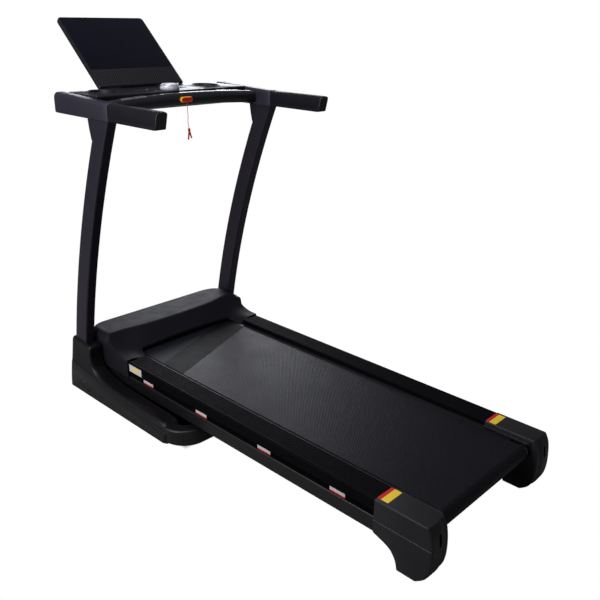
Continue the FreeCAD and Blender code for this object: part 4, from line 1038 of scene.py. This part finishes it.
def grip(word, side):
    """The rubber grip: a sleeve with a low moulding line and a slanted, rounded rear end."""
    front, rear = ARM_SEAM - 0.2, GRIP_REAR + 5.5
    rings = []
    for y, shrink in ((front, 3.0), (front - 0.3, 1.6), (front - 1.4, 1.0), (front - 90, 1.0),
                      (front - 180, 1.0), (rear + 14, 1.0), (rear + 1.2, 1.1), (rear + 0.3, 1.9),
                      (rear, 3.4)):
        near_end = max(0.0, 1 - (y - rear) / GRIP_SLANT_RUN)
        loop = arm_loop(ARM_TOP, shrink, 13, 4, GRIP_NOTCH)
        rings.append([at(side * x, y + near_end * grip_lean(z), z) for x, z in loop])
    solid(f"grip_sleeve_{word}", rings, "base", "grip", [f"grip_{word}"])


def grip_caps():
    """The slanted end plates behind the grips, with a rim that catches the light."""
    bm = bmesh.new()
    for _, side in SIDES:
        rings = []
        for depth, shrink in ((5.2, 3.0), (4.6, 2.0), (2.2, 2.0), (1.0, 2.5), (0.3, 3.6), (0.0, 5.2),
                              (0.4, 7.0), (0.5, 9.0)):
            loop = arm_loop(ARM_TOP, shrink, max(12.5 - shrink * 0.8, 3), max(5 - shrink * 0.5, 1.5))
            rings.append([at(side * x, GRIP_REAR + depth + grip_lean(z), z) for x, z in loop])
        strips(bm, rings)
    piece("grip_end_plates", bm, "base", "gloss", ["grip_caps"])


BAR_ALONG, BAR_BOW = 1371, 12
BAR_MIDDLE, BAR_ARCH = 1107, 11
BAR_HALF_DEEP, BAR_HALF_TALL = 21.8, 22.8
BAR_SQUARE = 2.7
SOCKET_RADIUS = 8.2


def bar_centre(x):
    """Middle of the bar's section: it arches up and bows forward."""
    share = 1 - (x / ARM_IN) ** 2
    return BAR_ALONG + BAR_BOW * share, BAR_MIDDLE + BAR_ARCH * share


def bar_point(x, angle, lift=0.0):
    """A point on or above the bar's skin; its section is between oval and square."""
    along, height = bar_centre(x)
    c, s = math.cos(angle), math.sin(angle)
    y = (BAR_HALF_DEEP + lift) * math.copysign(abs(c) ** (2 / BAR_SQUARE), c)
    z = (BAR_HALF_TALL + lift) * math.copysign(abs(s) ** (2 / BAR_SQUARE), s)
    return at(x, along + y, height + z)


def handle_bar():
    bm = bmesh.new()
    strips(bm, [[bar_point(x, math.radians(10 * k)) for k in range(36)] for x in spaced(-ARM_IN, ARM_IN, 48)])
    bar = piece("handle_bar_cover", bm, "base", "bar", ["handle_bar"])
    socket = bmesh.new()
    along, height = bar_centre(0)
    ends = ((SOCKET_RADIUS, along - BAR_HALF_DEEP - 4), (SOCKET_RADIUS, along))
    turned(socket, (0, height), ends, 24, facing_y)
    carve(bar, socket)


def pulse_plates():
    """Two curved steel contacts that wrap the bar's top, each in two halves with a gap."""
    bm = bmesh.new()
    for _, side in SIDES:
        for start, end in ((163, 212), (216, 265)):
            rings = []
            for step in range(9):
                x = side * (start + (end - start) * step / 8)
                at_end = 0.72 if step in (0, 8) else 0.0
                outer, inner = [], []
                for k in range(13):
                    angle = math.radians(52 + 76 * k / 12)
                    at_edge = 0.5 if k in (0, 12) else 0
                    outer.append(bar_point(x, angle, 1.3 - at_end - at_edge))
                    inner.append(bar_point(x, angle, 0.1))
                rings.append(outer + list(reversed(inner)))
            strips(bm, rings)
    piece("pulse_contacts", bm, "base", "steel", ["pulse_plates"])


# ---------------------------------------------------------------- console tray and dial

TRAY_TOP, TRAY_THICK = 1144, 7.6
TRAY_REAR, TRAY_FRONT, TRAY_HALF = 1408.4, 1605.6, 333.6
CUP_ACROSS, CUP_ALONG = 232, 1530
CUP_HALF_X, CUP_HALF_Y, CUP_DEEP = 45, 59, 51
WELL_INNER = 134
KNOB_LOW, KNOB_TOP = extent("control_knob")[0][2], extent("control_knob")[1][2]
KNOB_RADIUS, KNOB_BORE, KNOB_CENTRE = 35, 9.3, (0, 1452)
KNOB_STEPS, FLUTE_DEPTH = 144, 0.8
RIDGE_ALONG, RIDGE_BOW = 1500, 26
RIDGE_HALF_LONG, RIDGE_HALF_WIDE, RIDGE_TALL = 118, 8, 3.0


def tray_border(x_low, x_high, side):
    """The border of the tray's part round one cup well, with as many points as the well's ring."""
    radii = [0.2, 3, 30, 0.2] if side > 0 else [3, 0.2, 0.2, 30]
    loop = rounded_loop((x_low, TRAY_REAR), (x_high, TRAY_FRONT), radii)
    points = []
    for start, end in zip(loop, loop[1:] + loop[:1]):
        run = math.hypot(end[0] - start[0], end[1] - start[1])
        pieces = max(1, round(run / 16))
        for i in range(pieces):
            share = i / pieces
            points.append((start[0] + (end[0] - start[0]) * share, start[1] + (end[1] - start[1]) * share))
    return points


def well_ring(border, x, half_x, half_y):
    """An oval's points, one towards each point of the border."""
    ring = []
    for u, v in border:
        angle = math.atan2((v - CUP_ALONG) / CUP_HALF_Y, (u - x) / CUP_HALF_X)
        ring.append((x + half_x * math.cos(angle), CUP_ALONG + half_y * math.sin(angle)))
    return ring


def trimmed(points, amount):
    """The points, kept a little inside the tray's outline."""
    return [(min(max(u, amount - TRAY_HALF), TRAY_HALF - amount),
             min(max(v, TRAY_REAR + amount), TRAY_FRONT - amount)) for u, v in points]


def tray_side(bm, side):
    """The tray round one cup well: border, flat, raised rim, wall and floor."""
    x = side * CUP_ACROSS
    border = tray_border(*sorted((side * WELL_INNER, side * TRAY_HALF)), side)
    levels = [(border, -TRAY_THICK), (border, -2.4), (trimmed(border, 0.7), -0.7), (trimmed(border, 2.4), 0)]
    for out, height in ((7.5, 0.0), (6.2, 1.0), (4.6, 2.4), (2.4, 3.0), (0.8, 2.6), (0.0, 1.2), (-0.6, -10),
                        (-1.6, -28), (-2.6, -42), (-4.5, -47.5), (-8, -50), (-14, -CUP_DEEP)):
        levels.append((well_ring(border, x, CUP_HALF_X + out, CUP_HALF_Y + out), height))
    levels.append((well_ring(border, x, 12, 16), -CUP_DEEP))
    strips(bm, [[at(u, v, TRAY_TOP + height) for u, v in points] for points, height in levels], first=False)


def console_tray():
    bm = bmesh.new()
    for _, side in SIDES:
        tray_side(bm, side)
    edge = [(0, TRAY_THICK), (0, 2.4), (0.7, 0.7), (2.4, 0.0)]
    profile = [(TRAY_REAR + inset, TRAY_TOP - drop) for inset, drop in edge]
    profile += [(y, TRAY_TOP) for y in spaced(TRAY_REAR, TRAY_FRONT, 10)[1:-1]]
    profile += [(TRAY_FRONT - inset, TRAY_TOP - drop) for inset, drop in reversed(edge)]
    columns = spaced(-WELL_INNER, WELL_INNER, 24)
    strips(bm, [[at(x, y, z) for y, z in profile] for x in columns], loop=False)
    piece("console_top", bm, "base", "cover", ["console_tray"], sharp=55)


def dial_post():
    bm = bmesh.new()
    sections = ((30, TRAY_TOP - 1), (30, TRAY_TOP + 0.2), (8.8, TRAY_TOP + 0.3), (8.8, TRAY_TOP + 9))
    turned(bm, KNOB_CENTRE, sections, 36)
    piece("dial_post", bm, "base", "gloss")


def tray_ridge():
    """A raised glossy ridge that swings across the tray behind the dial."""
    rings = []
    for x in spaced(-RIDGE_HALF_LONG, RIDGE_HALF_LONG, 40):
        y = RIDGE_ALONG + RIDGE_BOW * (1 - (x / RIDGE_HALF_LONG) ** 2)
        end = min(1.0, (RIDGE_HALF_LONG - abs(x)) / 10 + 0.05)
        rings.append([at(x, y + RIDGE_HALF_WIDE * end * math.cos(angle),
                         TRAY_TOP - 0.3 + RIDGE_TALL * end * math.sin(angle))
                      for angle in spaced(0, math.pi, 8)])
    solid("tray_ridge", rings, "base", "gloss")


def tray_lamps():
    bm = bmesh.new()
    sections = ((2.2, TRAY_TOP - 0.2), (2.2, TRAY_TOP + 0.6), (1.7, TRAY_TOP + 1.1), (0.8, TRAY_TOP + 1.4))
    for centre in ((-64, 1505), (-62, 1450)):
        turned(bm, centre, sections, 12)
    piece("tray_lamps", bm, "base", "label_white")


def control_knob():
    """A bright dial: fluted skirt, bevelled shoulder and a dished top with a raised rim."""
    # Share of the radius, share of the height, and whether the ring is fluted.
    profile = [(0.94, 0.0, 0), (0.985, 0.03, 1), (1.0, 0.09, 1), (1.0, 0.5, 1), (0.985, 0.56, 1),
               (0.955, 0.6, 0), (0.95, 0.66, 0), (0.93, 0.78, 0), (0.86, 0.94, 0), (0.82, 0.99, 0),
               (0.79, 1.0, 0), (0.76, 0.98, 0), (0.72, 0.93, 0), (0.4, 0.9, 0), (0.1, 0.89, 0)]
    sections = [(KNOB_BORE, KNOB_LOW + 9.5, 0), (KNOB_BORE, KNOB_LOW, 0)]
    sections += [(KNOB_RADIUS * share, KNOB_LOW + (KNOB_TOP - KNOB_LOW) * height, fluted)
                 for share, height, fluted in profile]
    rings = []
    for radius, z, fluted in sections:
        ring = circle(radius, KNOB_CENTRE, KNOB_STEPS)
        if fluted:
            ring[2::4] = circle(radius - FLUTE_DEPTH, KNOB_CENTRE, KNOB_STEPS)[2::4]
        rings.append([at(x, y, z) for x, y in ring])
    solid("dial", rings, "knob", "silver", ["control_knob"], sharp=28)


# ---------------------------------------------------------------- screen

SCREEN_HALF, SCREEN_SLANT = 190, 351
SCREEN_LEAN = math.radians(48)
SCREEN_FOOT = (1613, 1151)
SCREEN_BEZEL = 4.4
SPEAKER_LOW, SPEAKER_TOP = 4.6, 86
RIB_LEAN, RIB_PITCH, RIB_WIDE = 0.95, 9.2, 3.4


def on_screen(x, depth, up):
    """A point of the leaning screen: across, into its thickness, and up along its slope."""
    y = SCREEN_FOOT[0] + depth * math.cos(SCREEN_LEAN) + up * math.sin(SCREEN_LEAN)
    z = SCREEN_FOOT[1] - depth * math.sin(SCREEN_LEAN) + up * math.cos(SCREEN_LEAN)
    return at(x, y, z)


def screen_slab(bm, loop, depths):
    strips(bm, [[on_screen(x, depth, up) for x, up in loop] for depth in depths])


def screen_shell():
    """A thin housing: a narrow front bezel, a bevelled edge and a rounded back with a raised field."""
    rings = []
    for inset, depth in ((4.2, 1.2), (3.0, 0.35), (2.2, 0.3), (0.9, 2.4), (0.2, 4.2), (0.2, 5.0), (0.6, 5.4),
                         (0.6, 6.0), (0.2, 6.4), (0.2, 13.5), (0.8, 16), (2.2, 18), (4.8, 19.2), (34, 19.6),
                         (37, 21.4), (40, 21.8), (60, 21.8)):
        top, foot = max(15 - inset, 2), max(5 - inset * 0.5, 1.5)
        loop = shrunk_loop((-SCREEN_HALF, 0), (SCREEN_HALF, SCREEN_SLANT), inset, [foot, foot, top, top], 8)
        rings.append([on_screen(x, depth, up) for x, up in loop])
    solid("screen_housing", rings, "base", "gloss", ["screen_shell"], sharp=30)


def screen_vents():
    bm = bmesh.new()
    for row in range(9):
        up = 120 + row * 9
        for _, side in SIDES:
            low, high = sorted((side * 84, side * 128))
            screen_slab(bm, rounded_loop((low, up), (high, up + 3.4), [1.6] * 4, 4), (21.5, 21.95))
    piece("screen_vents", bm, "base", "rubber")


def screen_glass():
    """The glossy panel above the speaker band, and a hairline gap between them."""
    rings = []
    low = (SCREEN_BEZEL - SCREEN_HALF, SPEAKER_TOP + 1.2)
    high = (SCREEN_HALF - SCREEN_BEZEL, SCREEN_SLANT - SCREEN_BEZEL)
    for inset, depth in ((0.0, 1.4), (0.0, 0.5), (0.3, 0.15), (0.9, 0.0)):
        loop = shrunk_loop(low, high, inset, [1.5, 1.5, 11, 11], 8)
        rings.append([on_screen(x, depth, up) for x, up in loop])
    solid("screen_panel", rings, "base", "panel", ["screen_glass"])


def speaker_band():
    """The band under the glass: a recessed backing behind slanted ribs."""
    half = SCREEN_HALF - SCREEN_BEZEL
    back = bmesh.new()
    screen_slab(back, rounded_loop((-half, SPEAKER_LOW), (half, SPEAKER_TOP), [2, 2, 1, 1], 4), (1.5, 0.9))
    piece("speaker_back", back, "base", "rubber")
    ribs = bmesh.new()
    tall = SPEAKER_TOP - SPEAKER_LOW
    drift = tall * RIB_LEAN
    for i in range(int((2 * half + drift) / RIB_PITCH)):
        foot = -half - drift + 3 + RIB_PITCH * i
        start = max(0.0, (-half + 0.5 - foot) / drift)
        end = min(1.0, (half - RIB_WIDE - 0.5 - foot) / drift)
        if end - start < 0.03:
            continue
        rings = []
        for share in (start, start + 0.02, end - 0.02, end):
            x, up = foot + drift * share, SPEAKER_LOW + tall * share
            face = 0.65 if share in (start, end) else 0.15
            rings.append([on_screen(x, 0.95, up), on_screen(x + 0.7, face, up),
                          on_screen(x + RIB_WIDE - 0.7, face, up), on_screen(x + RIB_WIDE, 0.95, up)])
        strips(ribs, rings)
    piece("speaker_grille", ribs, "base", "hatch", ["speaker_panel"], weld=0.005)


# ---------------------------------------------------------------- safety key, cord and clip

KEY_SOCKET = 1360.2
KEY_FACE = KEY_SOCKET - 11.2
KEY_HEIGHT = 1118
KEY_HALF_X, KEY_HALF_Z = 25.9, 9.9
KEY_ROUTE = [(0, 1351, 1108), (-1, 1351.5, 1086), (2, 1352, 1062), (-1, 1352.5, 1036), (4, 1352, 1016)]
CORD_DIAMETER = 0.0022


def pill(bm, sections):
    """A pill-shaped body that faces the runner: rings of (inset, y)."""
    rings = []
    low, high = (-KEY_HALF_X, KEY_HEIGHT - KEY_HALF_Z), (KEY_HALF_X, KEY_HEIGHT + KEY_HALF_Z)
    for inset, y in sections:
        radius = max(KEY_HALF_Z - inset - 0.2, 0.5)
        rings.append([at(x, y, z) for x, z in shrunk_loop(low, high, inset, [radius] * 4, 8)])
    strips(bm, rings)


def safety_key():
    """A yellow rim with its peg in the bar's socket, a red face and the eye the cord hangs from."""
    rim = bmesh.new()
    pill(rim, ((1.0, KEY_SOCKET - 0.4), (0.2, KEY_SOCKET - 1.2), (0.0, KEY_SOCKET - 3), (0.0, KEY_FACE + 4.6),
               (0.4, KEY_FACE + 3.2), (1.4, KEY_FACE + 2.4), (2.6, KEY_FACE + 2.4)))
    peg = ((7.3, KEY_SOCKET - 1), (7.3, KEY_SOCKET + 14.5), (6.0, KEY_SOCKET + 16))
    turned(rim, (0, KEY_HEIGHT), peg, 24, facing_y)
    piece("key_rim", rim, "safety_key", "yellow", ["safety_key"])
    body = bmesh.new()
    pill(body, ((2.4, KEY_FACE + 3.4), (2.4, KEY_FACE + 1.6), (2.9, KEY_FACE + 0.7), (4.0, KEY_FACE + 0.15),
                (5.5, KEY_FACE + 0.05), (6.4, KEY_FACE + 0.5), (7.2, KEY_FACE + 0.6)))
    piece("key_body", body, "safety_key", "red")
    eye = bmesh.new()
    turned(eye, (0, 1351), ((2.6, 1109.5), (2.4, 1107.4), (1.7, 1105.2)), 12)
    piece("key_eye", eye, "safety_key", "red")


def key_cord():
    data = bpy.data.curves.new("key_cord_line", "CURVE")
    data.dimensions = "3D"
    spline = data.splines.new("NURBS")
    spline.points.add(len(KEY_ROUTE) - 1)
    for point, place in zip(spline.points, KEY_ROUTE):
        point.co = (*at(*place), 1)
    spline.order_u = 3
    spline.use_endpoint_u = True
    spline.resolution_u = 12
    data.bevel_depth = CORD_DIAMETER / 2
    data.bevel_resolution = 4
    data.use_fill_caps = True
    data.materials.append(LOOKS["cord"][1])
    cord = add_object("key_cord_line", data)
    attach(cord, "safety_key")
    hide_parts("key_cord")
    return cord


def key_clip():
    """A small sprung clip: a red block over two jaws a little apart, with a yellow spring band."""
    x, y, z = KEY_ROUTE[-1]
    head = bmesh.new()
    add_box(head, (x - 4.4, y - 2.9, z - 8), (x + 4.4, y + 2.9, z), 1.6)
    block = piece("clip_block", head, "safety_key", "red")
    jaws = bmesh.new()
    top = z - 7
    for lean, low in ((-4.9, z - 40.5), (10, z - 36)):
        rings = []
        for share in spaced(0, 1, 6):
            height = top + (low - top) * share
            centre = x + lean * share
            wide = 2.9 * (1 - 0.3 * share)
            loop = rounded_loop((centre - wide, y - 2.3), (centre + wide, y + 2.3), [0.9] * 4, 3)
            rings.append([at(u, v, height) for u, v in loop])
        strips(jaws, rings)
    clip = piece("clip_jaws", jaws, "safety_key", "red", ["key_clip"])
    band = bmesh.new()
    add_box(band, (x - 4.8, y - 3.0, z - 15), (x + 4.8, y + 3.0, z - 11), 1.2)
    piece("clip_spring", band, "safety_key", "yellow")
    return [block, clip]


def key_set():
    safety_key()
    cord = key_cord()
    pieces = key_clip()


# ---------------------------------------------------------------- the whole scene

add_camera()
key_set()
add_studio()
dress_nodes()
motor_hood()
mouth_shade_strip()
hood_screws()
for side_word, side_sign in SIDES:
    end_cap(side_word, side_sign)
    cap_ledge(side_word, side_sign)
    arm_cover(side_word, side_sign)
    grip(side_word, side_sign)
deck_stickers()
boots()
grip_caps()
handle_bar()
pulse_plates()
console_tray()
dial_post()
tray_ridge()
tray_lamps()
control_knob()
screen_shell()
screen_vents()
screen_glass()
speaker_band()
